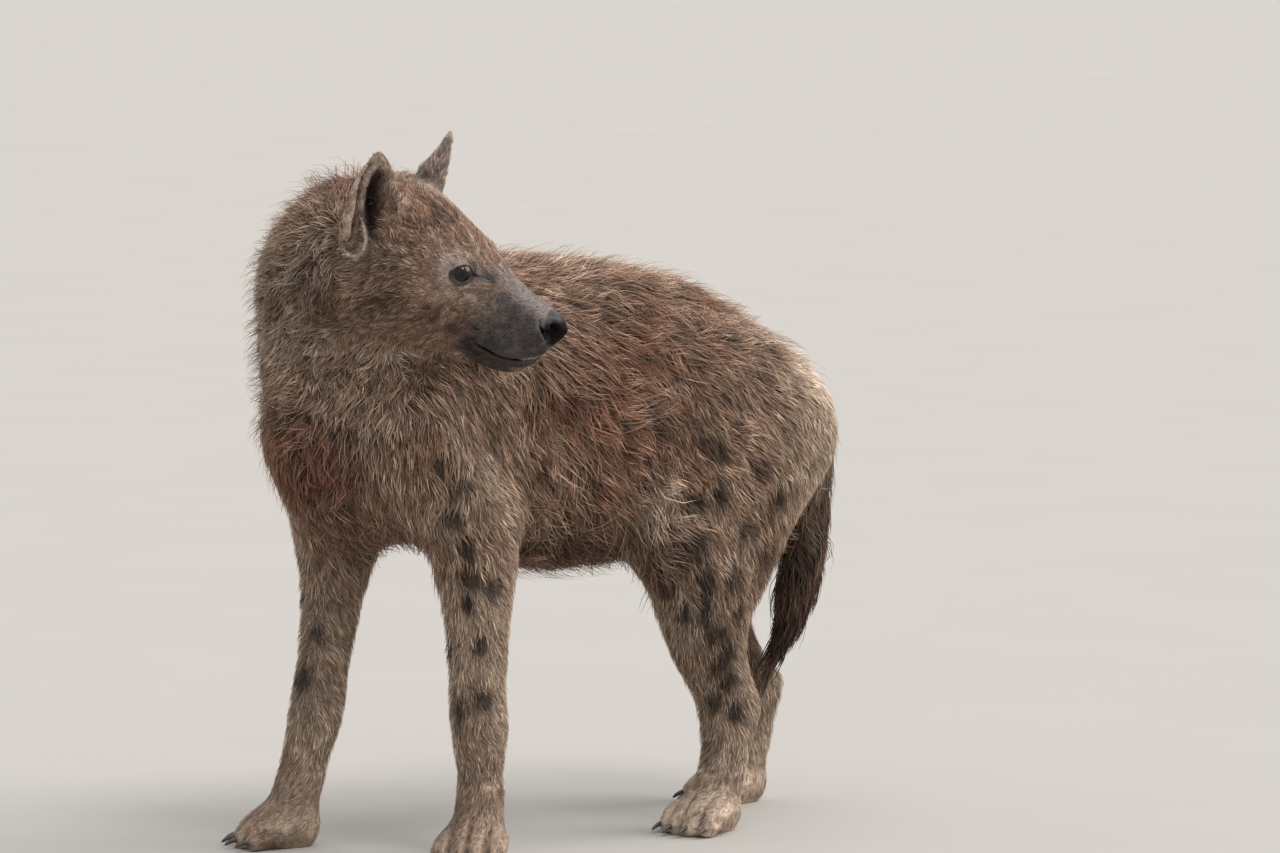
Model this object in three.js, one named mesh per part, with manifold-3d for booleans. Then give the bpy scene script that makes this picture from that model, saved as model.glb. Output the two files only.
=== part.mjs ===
// A life-size spotted hyena, standing, with its head turned back over its left shoulder.
// The flesh is one smooth field of bones and muscles, measured to the outside of the coat. It is meshed
// piece by piece and parted with thin cuts where a person would name the parts. Millimetres, +Z up, and
// the body faces -Y.
import * as THREE from 'three';
import { mergeVertices } from 'three/addons/utils/BufferGeometryUtils.js';
import Module from 'manifold-3d';

const wasm = await Module();
wasm.setup();

// Driving dimensions
const WITHERS_HEIGHT = 742;
const BELLY_HEIGHT = 341;
const CHEST_HALF_WIDTH = 124;
const BELLY_HALF_WIDTH = 150;
const NECK_RADIUS = 124;
const HEAD_TURN = 125; // degrees from straight ahead towards the animal's left
const HEAD_PITCH = 13; // degrees, nose down
const HEAD_ROLL = 12; // degrees, crown leaning towards the animal's right
const EAR_LENGTH = 108;
const EYEBALL_RADIUS = 13.5;
const PAW_LENGTH = 104;
const TOE_RADIUS = 14.5;
const CLAW_LENGTH = 17;
const CLAW_RADIUS = 4.6;
const CLAW_ROOT = 8; // how deep a claw sits in its toe
const GAP = 0.3; // between neighbouring pieces
const WRIST_HEIGHT = 92;
const ELBOW_HEIGHT = 362;
const ANKLE_HEIGHT = 74;
const KNEE_HEIGHT = 296;

// How coarsely each piece is meshed: the side of its grid cells
const CELL = { head: 16, neck: 42, paw: 16.5, shin: 33, top: 46, tail: 27, trunk: 48 };

const LEFT = 1;
const RIGHT = -1;
const SIDES = { left: LEFT, right: RIGHT };
const lerp = THREE.MathUtils.lerp;
const radians = THREE.MathUtils.degToRad;
const X = new THREE.Vector3(1, 0, 0);
const Y = new THREE.Vector3(0, 1, 0);
const Z = new THREE.Vector3(0, 0, 1);
const turned = (axis, angle) => new THREE.Quaternion().setFromAxisAngle(axis, radians(angle));

// A point as one speaks of an animal: how far forward, to its left, and up; and the same to one side of it
const at = (forward, left, up) => new THREE.Vector3(left, -forward, up);
const side = (sign, forward, out, up) => at(forward, sign * out, up);

// Signed distance fields: functions of a point, negative inside the flesh.

// A tapering limb segment from a to b
function limb(a, b, radiusA, radiusB) {
  const along = b.clone().sub(a);
  const lengthSq = along.lengthSq();
  const fromA = new THREE.Vector3();
  return (p) => {
    fromA.copy(p).sub(a);
    const share = THREE.MathUtils.clamp(fromA.dot(along) / lengthSq, 0, 1);
    return fromA.addScaledVector(along, -share).length() - lerp(radiusA, radiusB, share);
  };
}

// Limb segments through a list of [point, radius] joints
function chain(joints) {
  const parts = joints.slice(1).map(([b, radius], i) => limb(joints[i][0], b, joints[i][1], radius));
  return (p) => parts.reduce((nearest, part) => Math.min(nearest, part(p)), Infinity);
}

// An ellipsoid of muscle, turned from its own axes to the animal's
function muscle(centre, radii, turn = new THREE.Quaternion()) {
  const back = turn.clone().invert();
  const q = new THREE.Vector3();
  return (p) => {
    q.copy(p).sub(centre).applyQuaternion(back).divide(radii);
    const share = q.length();
    const steepness = q.divide(radii).length();
    return steepness < 1e-9 ? -radii.z : (share * (share - 1)) / steepness;
  };
}

// Smooth union: shapes flow into each other over a width
const blend = (width, a, b) => {
  const h = Math.max(width - Math.abs(a - b), 0) / width;
  return Math.min(a, b) - (h * h * width) / 4;
};
const blendAll = (width, ...fields) => (p) => fields.reduce((d, field) => blend(width, d, field(p)), 1e6);
const carve = (width, d, tool) => -blend(width, -d, tool);

// Rows of [position, ...values] read as smooth curves
function between(rows, x) {
  const last = rows.length - 1;
  let i = 0;
  while (i < last - 1 && x > rows[i + 1][0]) i++;
  const row = (j) => rows[THREE.MathUtils.clamp(j, 0, last)];
  const [before, from, to, after] = [row(i - 1), row(i), row(i + 1), row(i + 2)];
  const span = to[0] - from[0];
  const t = THREE.MathUtils.clamp((x - from[0]) / span, 0, 1);
  return from.slice(1).map((value, j) => {
    const k = j + 1;
    const slopeFrom = ((to[k] - before[k]) / (to[0] - before[0])) * span;
    const slopeTo = ((after[k] - from[k]) / (after[0] - from[0])) * span;
    return value * (2 * t ** 3 - 3 * t ** 2 + 1) + to[k] * (3 * t ** 2 - 2 * t ** 3)
      + slopeFrom * (t ** 3 - 2 * t ** 2 + t) + slopeTo * (t ** 3 - t ** 2);
  });
}

// A hull along a straight axis, from rows of [position, top, bottom, half width, squareness above, below].
// own(q, p) sets q to p in the hull's own frame: along, across, up.
function hull(rows, own) {
  const first = rows[0][0];
  const last = rows[rows.length - 1][0];
  const q = new THREE.Vector3();
  return (p) => {
    own(q, p);
    const [top, bottom, half, above, below] = between(rows, THREE.MathUtils.clamp(q.x, first, last));
    const middle = (top + bottom) / 2;
    const up = q.z - middle;
    const power = up > 0 ? above : below;
    const share = (Math.abs(q.y / half) ** power + Math.abs(up / (top - middle)) ** power) ** (1 / power);
    const across = share < 1e-6 ? -half : Math.hypot(q.y, up) * (1 - 1 / share);
    const over = Math.max(first - q.x, q.x - last);
    return over > 0 ? Math.hypot(Math.max(across, 0), over) : Math.max(across, over);
  };
}

// The trunk from rump to breast: a back that slopes down behind, the belly, and the deep chest
const trunk = hull([
  [-392, 572, 440, 70, 2, 2],
  [-345, 613, 420, 96, 2, 2],
  [-296, 643, 405, 112, 2.1, 2],
  [-238, 674, 388, 125, 2.2, 2.1],
  [-189, WITHERS_HEIGHT - 44, 392, 140, 2.2, 2.2],
  [-125, WITHERS_HEIGHT - 26, 374, BELLY_HALF_WIDTH - 2, 2.2, 2.3],
  [-60, WITHERS_HEIGHT - 14, BELLY_HEIGHT + 5, BELLY_HALF_WIDTH, 2.2, 2.3],
  [0, WITHERS_HEIGHT - 7, BELLY_HEIGHT - 7, BELLY_HALF_WIDTH, 2.2, 2.3],
  [80, WITHERS_HEIGHT - 2, 344, 143, 2.2, 2.2],
  [160, WITHERS_HEIGHT, 372, 133, 2.1, 2.2],
  [240, WITHERS_HEIGHT - 17, 398, CHEST_HALF_WIDTH, 2, 2.1],
  [300, 696, 440, 100, 2, 2],
], (q, p) => q.set(-p.y, p.x, p.z));
const rump = muscle(at(-340, 0, 488), new THREE.Vector3(94, 84, 86));
const breast = muscle(at(292, -8, 512), new THREE.Vector3(112, 112, 128));
const shoulders = Object.values(SIDES).map((sign) => chain([
  [side(sign, 205, 62, 655), 60],
  [side(sign, 270, 92, 520), 72],
]));
const torso = blendAll(52, trunk, rump, breast, ...shoulders);

// Each leg as [point, radius] joints from shoulder or hip to foot, with the way its toes point in degrees
// from straight ahead towards the left
const onLeft = (forward, out, up) => side(LEFT, forward, out, up);
const onRight = (forward, out, up) => side(RIGHT, forward, out, up);
const legs = {
  left_fore: {
    sign: LEFT,
    toes: 40,
    upper: [[onLeft(270, 92, 520), 74], [onLeft(192, 106, 402), 54]],
    lower: [[onLeft(192, 106, 402), 54], [onLeft(188, 105, 300), 44], [onLeft(184, 103, 165), 35]],
    foot: [[onLeft(184, 103, 165), 35], [onLeft(180, 100, 85), 31], [onLeft(186, 103, 45), 31]],
  },
  right_fore: {
    sign: RIGHT,
    toes: -24,
    upper: [[onRight(280, 94, 515), 74], [onRight(250, 104, 402), 52]],
    lower: [[onRight(250, 104, 402), 52], [onRight(258, 106, 300), 41], [onRight(278, 112, 165), 34]],
    foot: [[onRight(278, 112, 165), 34], [onRight(296, 120, 85), 31], [onRight(308, 124, 45), 31]],
  },
  left_hind: {
    sign: LEFT,
    toes: 12,
    upper: [[onLeft(-270, 54, 500), 90], [onLeft(-152, 88, 385), 68]],
    lower: [[onLeft(-148, 90, 362), 66], [onLeft(-173, 91, 245), 55], [onLeft(-212, 88, 150), 35]],
    foot: [[onLeft(-214, 88, 142), 34], [onLeft(-200, 90, 80), 29], [onLeft(-188, 91, 42), 29]],
    heel: onLeft(-240, 87, 156),
    ham: [[onLeft(-308, 54, 470), 72], [onLeft(-230, 84, 320), 48]],
  },
  right_hind: {
    sign: RIGHT,
    toes: -8,
    upper: [[onRight(-285, 54, 490), 90], [onRight(-245, 88, 385), 70]],
    lower: [[onRight(-250, 90, 365), 66], [onRight(-312, 87, 245), 53], [onRight(-380, 84, 152), 35]],
    foot: [[onRight(-386, 84, 144), 34], [onRight(-376, 85, 80), 29], [onRight(-364, 86, 42), 29]],
    heel: onRight(-411, 84, 158),
    ham: [[onRight(-328, 54, 465), 72], [onRight(-318, 84, 325), 48]],
  },
};

// A paw: a heel pad and four toes, flat on the floor
const TOE_SPREAD = [-1.5, -0.5, 0.5, 1.5];
const TOE_PITCH = 23;
const pawPlace = (leg) => {
  const ankle = leg.foot.at(-1)[0].clone().setZ(0);
  return (forward, left, up) => at(forward, left, up).applyQuaternion(turned(Z, leg.toes)).add(ankle);
};
function toeLine(leg, spread) {
  const place = pawPlace(leg);
  const reach = PAW_LENGTH * (Math.abs(spread) > 1 ? 0.52 : 0.6);
  return {
    knuckle: place(reach - 34, spread * TOE_PITCH * 0.86, 27),
    bend: place(reach - 13, spread * TOE_PITCH, 22),
    tip: place(reach, spread * TOE_PITCH * 1.04, 11.5),
    clawTip: place(reach + TOE_RADIUS + CLAW_LENGTH * 0.55, spread * TOE_PITCH * 1.08, 5.5),
  };
}
function pawField(leg) {
  const place = pawPlace(leg);
  const toes = TOE_SPREAD.map((spread) => {
    const { knuckle, bend, tip } = toeLine(leg, spread);
    return chain([[knuckle, TOE_RADIUS + 1.5], [bend, TOE_RADIUS], [tip, TOE_RADIUS - 1.5]]);
  });
  const palm = limb(place(-6, 0, 24), place(26, 0, 21), 31, 33);
  const apart = blendAll(3, ...toes);
  return (p) => blend(14, palm(p), apart(p));
}
for (const leg of Object.values(legs)) {
  const heel = leg.heel ? [limb(leg.heel, leg.foot[1][0], 22, 22)] : [];
  const bones = blendAll(26, chain(leg.lower), chain(leg.foot), ...heel);
  const haunch = leg.ham ? [chain(leg.ham)] : [];
  const whole = blendAll(42, chain(leg.upper), ...haunch, bones);
  const paw = pawField(leg);
  leg.field = (p) => (p.z < 130 ? blend(16, whole(p), paw(p)) : whole(p));
}

// The neck rises from the shoulders and curls round to the left
const neck = chain([
  [at(190, 0, 585), 130],
  [at(288, -4, 640), NECK_RADIUS + 6],
  [at(312, 6, 702), NECK_RADIUS],
  [at(328, 46, 732), NECK_RADIUS - 12],
]);

// The head, in its own frame between the ear openings: +x to the nose, +y to its left, +z to the crown
const headPlace = at(326, 100, 761);
const headTurn = turned(Z, HEAD_TURN - 90).multiply(turned(Y, HEAD_PITCH)).multiply(turned(X, HEAD_ROLL));
const headBack = headTurn.clone().invert();
const inHead = (x, y, z) => new THREE.Vector3(x, y, z).applyQuaternion(headTurn).add(headPlace);
const skull = hull([
  [-62, 50, -84, 70, 2, 2],
  [-20, 73, -104, 88, 2, 1.8],
  [25, 79, -110, 92, 2, 1.8],
  [62, 74, -109, 83, 2.1, 1.8],
  [95, 58, -109, 68, 2, 1.9],
  [122, 40, -110, 56, 2, 2],
  [145, 21, -111, 50, 2, 2.1],
  [170, 1, -111, 47, 2.1, 2.2],
  [195, -15, -108, 43, 2.2, 2.2],
  [214, -21, -96, 37, 2.3, 2.3],
  [236, -31, -70, 27, 2.3, 2.3],
], (q, p) => q.copy(p).sub(headPlace).applyQuaternion(headBack));
const ovals = (x, y, z, rx, ry, rz) => Object.values(SIDES)
  .map((sign) => muscle(inHead(x, sign * y, z), new THREE.Vector3(rx, ry, rz), headTurn));
const cheeks = ovals(48, 58, -34, 48, 34, 44);
const brows = ovals(108, 32, 14, 26, 16, 10);
const lips = ovals(176, 24, -78, 38, 22, 20);
const earRoots = ovals(10, 66, 40, 32, 18, 26);
const sockets = ovals(133, 60, 6, 15, 11, 9);
const noseBulb = muscle(inHead(228, 0, -44), new THREE.Vector3(19, 20, 17), headTurn);
const headShape = (p) => {
  const d = blend(10, blendAll(22, skull, ...cheeks, ...brows, ...lips, ...earRoots)(p), noseBulb(p));
  return sockets.reduce((rest, socket) => carve(12, rest, socket(p)), d);
};

// The tail hangs from the back of the rump, close to the thighs
const tail = chain([
  [at(-400, 0, 500), 32],
  [at(-410, 0, 450), 32],
  [at(-408, -2, 390), 34],
  [at(-401, -4, 325), 35],
  [at(-388, -7, 272), 31],
  [at(-373, -10, 222), 21],
  [at(-360, -12, 168), 8],
]);

const body = (p) => {
  let d = torso(p);
  for (const leg of Object.values(legs)) d = blend(44, d, leg.field(p));
  return blend(14, blend(60, d, neck(p)), tail(p));
};
const frontAndHead = (p) => blend(46, blend(60, torso(p), neck(p)), headShape(p));

// The corners of a grid cell are numbered by bits: 1 for +x, 2 for +y, 4 for +z.
const CELL_EDGES = [1, 2, 4].flatMap((bit) => [0, 1, 2, 3, 4, 5, 6, 7]
  .filter((corner) => !(corner & bit))
  .map((corner) => [corner, corner + bit]));
const edgeNumber = (a, b) => CELL_EDGES.findIndex(([c, d]) => (a === c && b === d) || (a === d && b === c));
const CELL_FACES = [0, 1, 2].flatMap((axis) => [0, 1].map((far) => {
  const u = 1 << (axis + 1) % 3;
  const v = 1 << (axis + 2) % 3;
  const corners = [0, u, u + v, v].map((corner) => corner + (far << axis));
  return { corners, edges: corners.map((corner, m) => edgeNumber(corner, corners[(m + 1) % 4])) };
}));

// Which crossed edges of a cell belong to one sheet of the surface; two sheets in a cell get a vertex each.
function sheetsOf(inside) {
  const sheet = CELL_EDGES.map(([a, b], e) => (inside[a] === inside[b] ? -1 : e));
  const join = (e, f) => {
    const [keep, drop] = [Math.min(sheet[e], sheet[f]), Math.max(sheet[e], sheet[f])];
    sheet.forEach((value, g) => {
      if (value === drop) sheet[g] = keep;
    });
  };
  for (const { corners, edges } of CELL_FACES) {
    const crossed = edges.filter((e) => sheet[e] >= 0);
    if (crossed.length === 2) join(crossed[0], crossed[1]);
    if (crossed.length === 4) {
      corners.forEach((corner, m) => {
        if (inside[corner]) join(edges[m], edges[(m + 3) % 4]);
      });
    }
  }
  return sheet;
}

// Meshes a field inside a box: one vertex for each sheet in a crossed cell, moved onto the surface, and one
// quad across each crossed edge of the grid.
function meshOf(field, box, cell) {
  const size = box.getSize(new THREE.Vector3());
  const [nx, ny, nz] = ['x', 'y', 'z'].map((axis) => Math.ceil(size[axis] / cell) + 1);
  const p = new THREE.Vector3();
  const value = new Float64Array(nx * ny * nz);
  const index = (i, j, k) => i + nx * (j + ny * k);
  for (let k = 0; k < nz; k++) {
    for (let j = 0; j < ny; j++) {
      for (let i = 0; i < nx; i++) {
        const border = !i || !j || !k || i === nx - 1 || j === ny - 1 || k === nz - 1;
        const d = field(p.set(i, j, k).multiplyScalar(cell).add(box.min));
        value[index(i, j, k)] = border ? Math.max(d, cell / 2) : d;
      }
    }
  }
  const corners = [0, 1, nx, nx + 1, nx * ny, nx * ny + 1, nx * ny + nx, nx * ny + nx + 1];
  const vertexOf = new Map();
  const points = [];
  for (let k = 0; k < nz - 1; k++) {
    for (let j = 0; j < ny - 1; j++) {
      for (let i = 0; i < nx - 1; i++) {
        const base = index(i, j, k);
        const values = corners.map((corner) => value[base + corner]);
        const sheet = sheetsOf(values.map((v) => v < 0));
        for (const number of new Set(sheet)) {
          if (number < 0) continue;
          const point = new THREE.Vector3();
          let crossings = 0;
          CELL_EDGES.forEach(([a, b], e) => {
            if (sheet[e] !== number) return;
            const t = values[a] / (values[a] - values[b]);
            point.x += lerp(a & 1, b & 1, t);
            point.y += lerp((a >> 1) & 1, (b >> 1) & 1, t);
            point.z += lerp(a >> 2, b >> 2, t);
            crossings++;
            vertexOf.set(base * 12 + e, points.length);
          });
          point.divideScalar(crossings).add(p.set(i, j, k)).multiplyScalar(cell).add(box.min);
          points.push(point);
        }
      }
    }
  }
  const inner = box.clone().expandByScalar(-1.5 * cell);
  for (const point of points) {
    if (inner.containsPoint(point)) ontoSurface(field, point, cell);
  }
  const triangles = [];
  const steps = [1, nx, nx * ny];
  for (let k = 0; k < nz - 1; k++) {
    for (let j = 0; j < ny - 1; j++) {
      for (let i = 0; i < nx - 1; i++) {
        const base = index(i, j, k);
        const place = [i, j, k];
        for (let axis = 0; axis < 3; axis++) {
          const inside = value[base] < 0;
          if (inside === value[base + steps[axis]] < 0) continue;
          const [uAxis, vAxis] = [(axis + 1) % 3, (axis + 2) % 3];
          if (!place[uAxis] || !place[vAxis]) continue;
          const quad = [[1, 1], [0, 1], [0, 0], [1, 0]].map(([u, v]) => {
            const corner = (u << uAxis) + (v << vAxis);
            const edge = edgeNumber(corner, corner + (1 << axis));
            return vertexOf.get((base - u * steps[uAxis] - v * steps[vAxis]) * 12 + edge);
          });
          if (!inside) quad.reverse();
          const [a, b, c, d] = quad;
          const shortWay = points[a].distanceToSquared(points[c]) <= points[b].distanceToSquared(points[d]);
          triangles.push(...(shortWay ? [a, b, c, a, c, d] : [a, b, d, b, c, d]));
        }
      }
    }
  }
  return new wasm.Manifold(new wasm.Mesh({
    numProp: 3,
    vertProperties: new Float32Array(points.flatMap((point) => point.toArray())),
    triVerts: new Uint32Array(triangles),
  }));
}

// Moves a point along the slope of the field until it lies on the surface
function ontoSurface(field, point, cell) {
  const step = 0.5;
  const slope = new THREE.Vector3();
  for (let round = 0; round < 2; round++) {
    const d = field(point);
    ['x', 'y', 'z'].forEach((axis) => {
      point[axis] += step;
      slope[axis] = (field(point) - d) / step;
      point[axis] -= step;
    });
    const steep = slope.lengthSq();
    if (steep < 1e-3) return;
    slope.multiplyScalar(-d / steep);
    point.add(slope.clampLength(0, cell * 0.3));
  }
}

// A closed geometry as a solid, and back
function solidOf(geometry) {
  const bare = geometry.clone();
  bare.deleteAttribute('normal');
  bare.deleteAttribute('uv');
  const merged = mergeVertices(bare, 1e-3);
  return new wasm.Manifold(new wasm.Mesh({
    numProp: 3,
    vertProperties: new Float32Array(merged.attributes.position.array),
    triVerts: new Uint32Array(merged.index.array),
  }));
}
function geometryOf(solid) {
  const mesh = solid.getMesh();
  const geometry = new THREE.BufferGeometry();
  geometry.setAttribute('position', new THREE.BufferAttribute(new Float32Array(mesh.vertProperties), 3));
  geometry.setIndex(new THREE.BufferAttribute(new Uint32Array(mesh.triVerts), 1));
  const flat = geometry.toNonIndexed();
  flat.computeVertexNormals();
  return flat;
}

// An ear: a leaf that curls forward at both rims, built of rings from root to tip. Each row is
// [height, half width, how far the rims curl forward, thickness], as shares of the ear's length.
const EAR_ROWS = [
  [-0.32, 0.14, 0.06, 0.1],
  [-0.16, 0.26, 0.16, 0.13],
  [0.04, 0.325, 0.21, 0.13],
  [0.26, 0.325, 0.19, 0.115],
  [0.48, 0.285, 0.15, 0.1],
  [0.69, 0.215, 0.1, 0.09],
  [0.86, 0.14, 0.05, 0.08],
  [0.96, 0.075, 0.02, 0.07],
  [1, 0.03, 0, 0.04],
];
const EAR_ARC = 6;
function earGeometry() {
  const rings = EAR_ROWS.map(([height, half, curl, thick]) => {
    const arc = (inner) => Array.from({ length: EAR_ARC + 1 }, (_, i) => {
      const u = (2 * i) / EAR_ARC - 1;
      const wall = (thick / 2) * (1 - 0.55 * u * u) * (inner ? 1 : -1);
      return new THREE.Vector3(curl * u * u - curl * 0.45 + wall, half * u, height);
    });
    return [...arc(false), ...arc(true).reverse()].map((point) => point.multiplyScalar(EAR_LENGTH));
  });
  return loft(rings);
}

// A closed skin over rings of equally many points, with a fan over each end
function loft(rings) {
  const around = rings[0].length;
  const points = rings.flat();
  const triangles = [];
  for (let r = 0; r < rings.length - 1; r++) {
    for (let i = 0; i < around; i++) {
      const [a, b] = [r * around + i, r * around + ((i + 1) % around)];
      triangles.push(a, b + around, b, a, a + around, b + around);
    }
  }
  const middle = (ring) => {
    const sum = ring.reduce((total, point) => total.add(point), new THREE.Vector3());
    return sum.divideScalar(around);
  };
  const top = (rings.length - 1) * around;
  points.push(middle(rings[0]), middle(rings.at(-1)));
  for (let i = 0; i < around; i++) {
    triangles.push(i, (i + 1) % around, points.length - 2);
    triangles.push(top + ((i + 1) % around), top + i, points.length - 1);
  }
  const geometry = new THREE.BufferGeometry().setFromPoints(points);
  geometry.setIndex(triangles);
  return geometry;
}

// A room is a box in some frame, from low to high corner, that takes its flesh as one piece. Its wide form
// leaves the gap round the piece when it is cut out of the neighbours.
function room(place, turn, low, high) {
  const box = (spare) => {
    const size = high.clone().sub(low).addScalar(2 * spare);
    const centre = high.clone().add(low).divideScalar(2);
    const geometry = new THREE.BoxGeometry(...size.toArray()).translate(...centre.toArray());
    geometry.applyQuaternion(turn).translate(...place.toArray());
    return solidOf(geometry);
  };
  return { tight: box(-GAP / 2), wide: box(GAP / 2) };
}
const ORIGIN = new THREE.Vector3();
const NO_TURN = new THREE.Quaternion();
// A room along the animal's own axes, on one side of it or across it
function bodyRoom([rear, front], [inner, outer], [low, high], sign = LEFT) {
  const corners = [side(sign, rear, inner, low), side(sign, front, outer, high)];
  const { min, max } = new THREE.Box3().setFromPoints(corners);
  return room(ORIGIN, NO_TURN, min, max);
}
const without = (solid, ...rooms) => rooms.reduce((rest, { wide }) => rest.subtract(wide), solid);
const boxOf = (points, margin) => new THREE.Box3().setFromPoints(points).expandByScalar(margin);

// Materials
const matt = (color, roughness) => new THREE.MeshStandardMaterial({ color, roughness, metalness: 0 });
const COAT = matt(0x8a6d52, 0.9);
const EAR_HAIR = matt(0x6e6058, 0.9);
const TAIL_HAIR = matt(0x2c201b, 0.8);
const DARK_HIDE = matt(0x2b2728, 0.55);
const EYE = matt(0x1c1310, 0.1);
const HORN = matt(0x3a322c, 0.45);

// The model stands in its own group, which is set on the origin at the end
const model = new THREE.Group();
function addPiece(name, solid, material) {
  const [largest] = solid.decompose().sort((a, b) => b.volume() - a.volume());
  const mesh = new THREE.Mesh(geometryOf(largest), material.clone());
  mesh.name = name;
  model.add(mesh);
}

// Where the body is parted
const neckSlope = new THREE.Quaternion().setFromUnitVectors(Z, at(0.755, 0, 0.656).normalize());
const turnedRoom = (place, turn, low, high) => (
  room(place, turn, new THREE.Vector3(...low), new THREE.Vector3(...high))
);
const neckRoom = turnedRoom(at(200, 0, 742), neckSlope, [-600, -600, 0], [600, 600, 700]);
const headRoom = turnedRoom(headPlace, headTurn, [-26, -112, -116], [300, 96, 240]);
const jawRoom = turnedRoom(headPlace, headTurn, [58, -100, -140], [300, 90, -88]);
const noseRoom = turnedRoom(headPlace, headTurn, [221, -60, -66], [300, 60, 20]);
const tailRooms = [
  bodyRoom([-520, -406], [-44, 44], [360, 506]),
  bodyRoom([-520, -340], [-44, 34], [120, 364]),
];

// Ears stand on the sides of the crown, each turned its own way: lean is outwards and forwards in degrees,
// and facing is the way the cup opens, from the nose towards the animal's left
const earStands = {
  left: { root: inHead(14, 66, 35), lean: [0, 21], facing: 44 },
  right: { root: inHead(2, -68, 38), lean: [-10, 6], facing: -48 },
};
const ears = Object.entries(earStands).map(([name, { root, lean: [outwards, forwards], facing }]) => {
  const turn = headTurn.clone()
    .multiply(turned(Y, forwards))
    .multiply(turned(X, -outwards))
    .multiply(turned(Z, facing));
  return {
    name: `${name}_ear`,
    solid: solidOf(earGeometry().applyQuaternion(turn).translate(...root.toArray())),
    room: turnedRoom(root, turn, [-24, -44, EAR_LENGTH * 0.26], [36, 44, EAR_LENGTH * 1.2]),
  };
});
const earRooms = ears.map((ear) => ear.room);

// Eyes are whole balls in sockets of the same shape
const eyes = Object.entries(SIDES).map(([name, sign]) => {
  const ball = (spare) => {
    const geometry = new THREE.IcosahedronGeometry(EYEBALL_RADIUS + spare, 1);
    return solidOf(geometry.translate(...inHead(120, sign * 41.5, 6).toArray()));
  };
  return { name: `${name}_eye`, ball: ball(0), socket: ball(GAP * 1.6) };
});

// Head, jaw, nose and ears come from one piece of flesh
const headBox = new THREE.Box3(at(430, -110, 560), at(60, 390, 900));
let headFlesh = meshOf(frontAndHead, headBox, CELL.head);
for (const ear of ears) headFlesh = headFlesh.add(ear.solid);
for (const eye of eyes) headFlesh = headFlesh.subtract(eye.socket);
addPiece('head', without(headFlesh.intersect(headRoom.tight), jawRoom, noseRoom, ...earRooms), COAT);
const jawFlesh = headFlesh.intersect(jawRoom.tight).intersect(headRoom.tight);
addPiece('lower_jaw', without(jawFlesh, noseRoom), DARK_HIDE);
addPiece('nose', headFlesh.intersect(noseRoom.tight), DARK_HIDE);
for (const ear of ears) addPiece(ear.name, headFlesh.intersect(ear.room.tight), EAR_HAIR);
for (const eye of eyes) addPiece(eye.name, eye.ball, EYE);

// Neck
const neckBox = new THREE.Box3(at(470, -190, 420), at(60, 190, 920));
const neckFlesh = meshOf(frontAndHead, neckBox, CELL.neck);
addPiece('neck', without(neckFlesh.intersect(neckRoom.tight), headRoom, ...earRooms), COAT);

// Claws: cones rooted in the toe tips
function clawCone({ tip, clawTip }, spare) {
  const long = CLAW_LENGTH + CLAW_ROOT + 2 * spare;
  const way = clawTip.clone().sub(tip).normalize();
  const root = clawTip.clone().addScaledVector(way, -CLAW_LENGTH - CLAW_ROOT - spare);
  const geometry = new THREE.ConeGeometry(CLAW_RADIUS + spare, long, 5);
  geometry.translate(0, long / 2, 0);
  geometry.applyQuaternion(new THREE.Quaternion().setFromUnitVectors(Y, way));
  return solidOf(geometry.translate(...root.toArray()));
}

// Legs are cut across at the joints, and the shoulders and thighs are parted from the trunk
const foreRooms = (sign) => ({
  paw: bodyRoom([125, 460], [0, 240], [-GAP / 2, WRIST_HEIGHT], sign),
  shin: bodyRoom([125, 460], [0, 240], [WRIST_HEIGHT, ELBOW_HEIGHT], sign),
  top: bodyRoom([125, 372], [78, 240], [ELBOW_HEIGHT, 600], sign),
});
const hindRooms = (sign) => ({
  paw: bodyRoom([-470, -60], [0, 240], [-GAP / 2, ANKLE_HEIGHT], sign),
  shin: bodyRoom([-470, -60], [0, 240], [ANKLE_HEIGHT, KNEE_HEIGHT], sign),
  top: bodyRoom([-450, -78], [46, 240], [KNEE_HEIGHT, 590], sign),
});
const legRooms = [];
for (const [name, leg] of Object.entries(legs)) {
  const fore = name.endsWith('fore');
  const rooms = fore ? foreRooms(leg.sign) : hindRooms(leg.sign);
  legRooms.push(...Object.values(rooms));
  const pawBox = boxOf([leg.foot.at(-1)[0], leg.foot[1][0]], 100);
  pawBox.min.z = -45;
  let paw = meshOf(leg.field, pawBox, CELL.paw).intersect(rooms.paw.tight);
  TOE_SPREAD.forEach((spread, i) => {
    const line = toeLine(leg, spread);
    paw = paw.subtract(clawCone(line, GAP * 1.5));
    addPiece(`${name}_claw_${i + 1}`, clawCone(line, 0), HORN);
  });
  addPiece(`${name}_paw`, paw, COAT);
  const shinFlesh = meshOf(body, boxOf([leg.lower[0][0], leg.foot[1][0]], 120), CELL.shin);
  const shin = without(shinFlesh.intersect(rooms.shin.tight), ...tailRooms);
  addPiece(fore ? `${name}arm` : `${name}_shank`, shin, COAT);
  const topFlesh = meshOf(body, boxOf([leg.upper[0][0], leg.lower[0][0]], 230), CELL.top);
  const top = without(topFlesh.intersect(rooms.top.tight), neckRoom, headRoom, ...tailRooms);
  addPiece(fore ? `${name}_shoulder` : `${name}_thigh`, top, COAT);
}

// Tail
const tailFlesh = meshOf(body, new THREE.Box3(at(-330, -70, 150), at(-470, 70, 520)), CELL.tail);
addPiece('tail', tailFlesh.intersect(tailRooms[0].tight.add(tailRooms[1].tight)), TAIL_HAIR);

// Trunk: all that the other pieces leave
const trunkFlesh = meshOf(body, new THREE.Box3(at(440, -230, 260), at(-490, 230, 820)), CELL.trunk);
addPiece('trunk', without(trunkFlesh, neckRoom, headRoom, ...tailRooms, ...legRooms), COAT);

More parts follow.
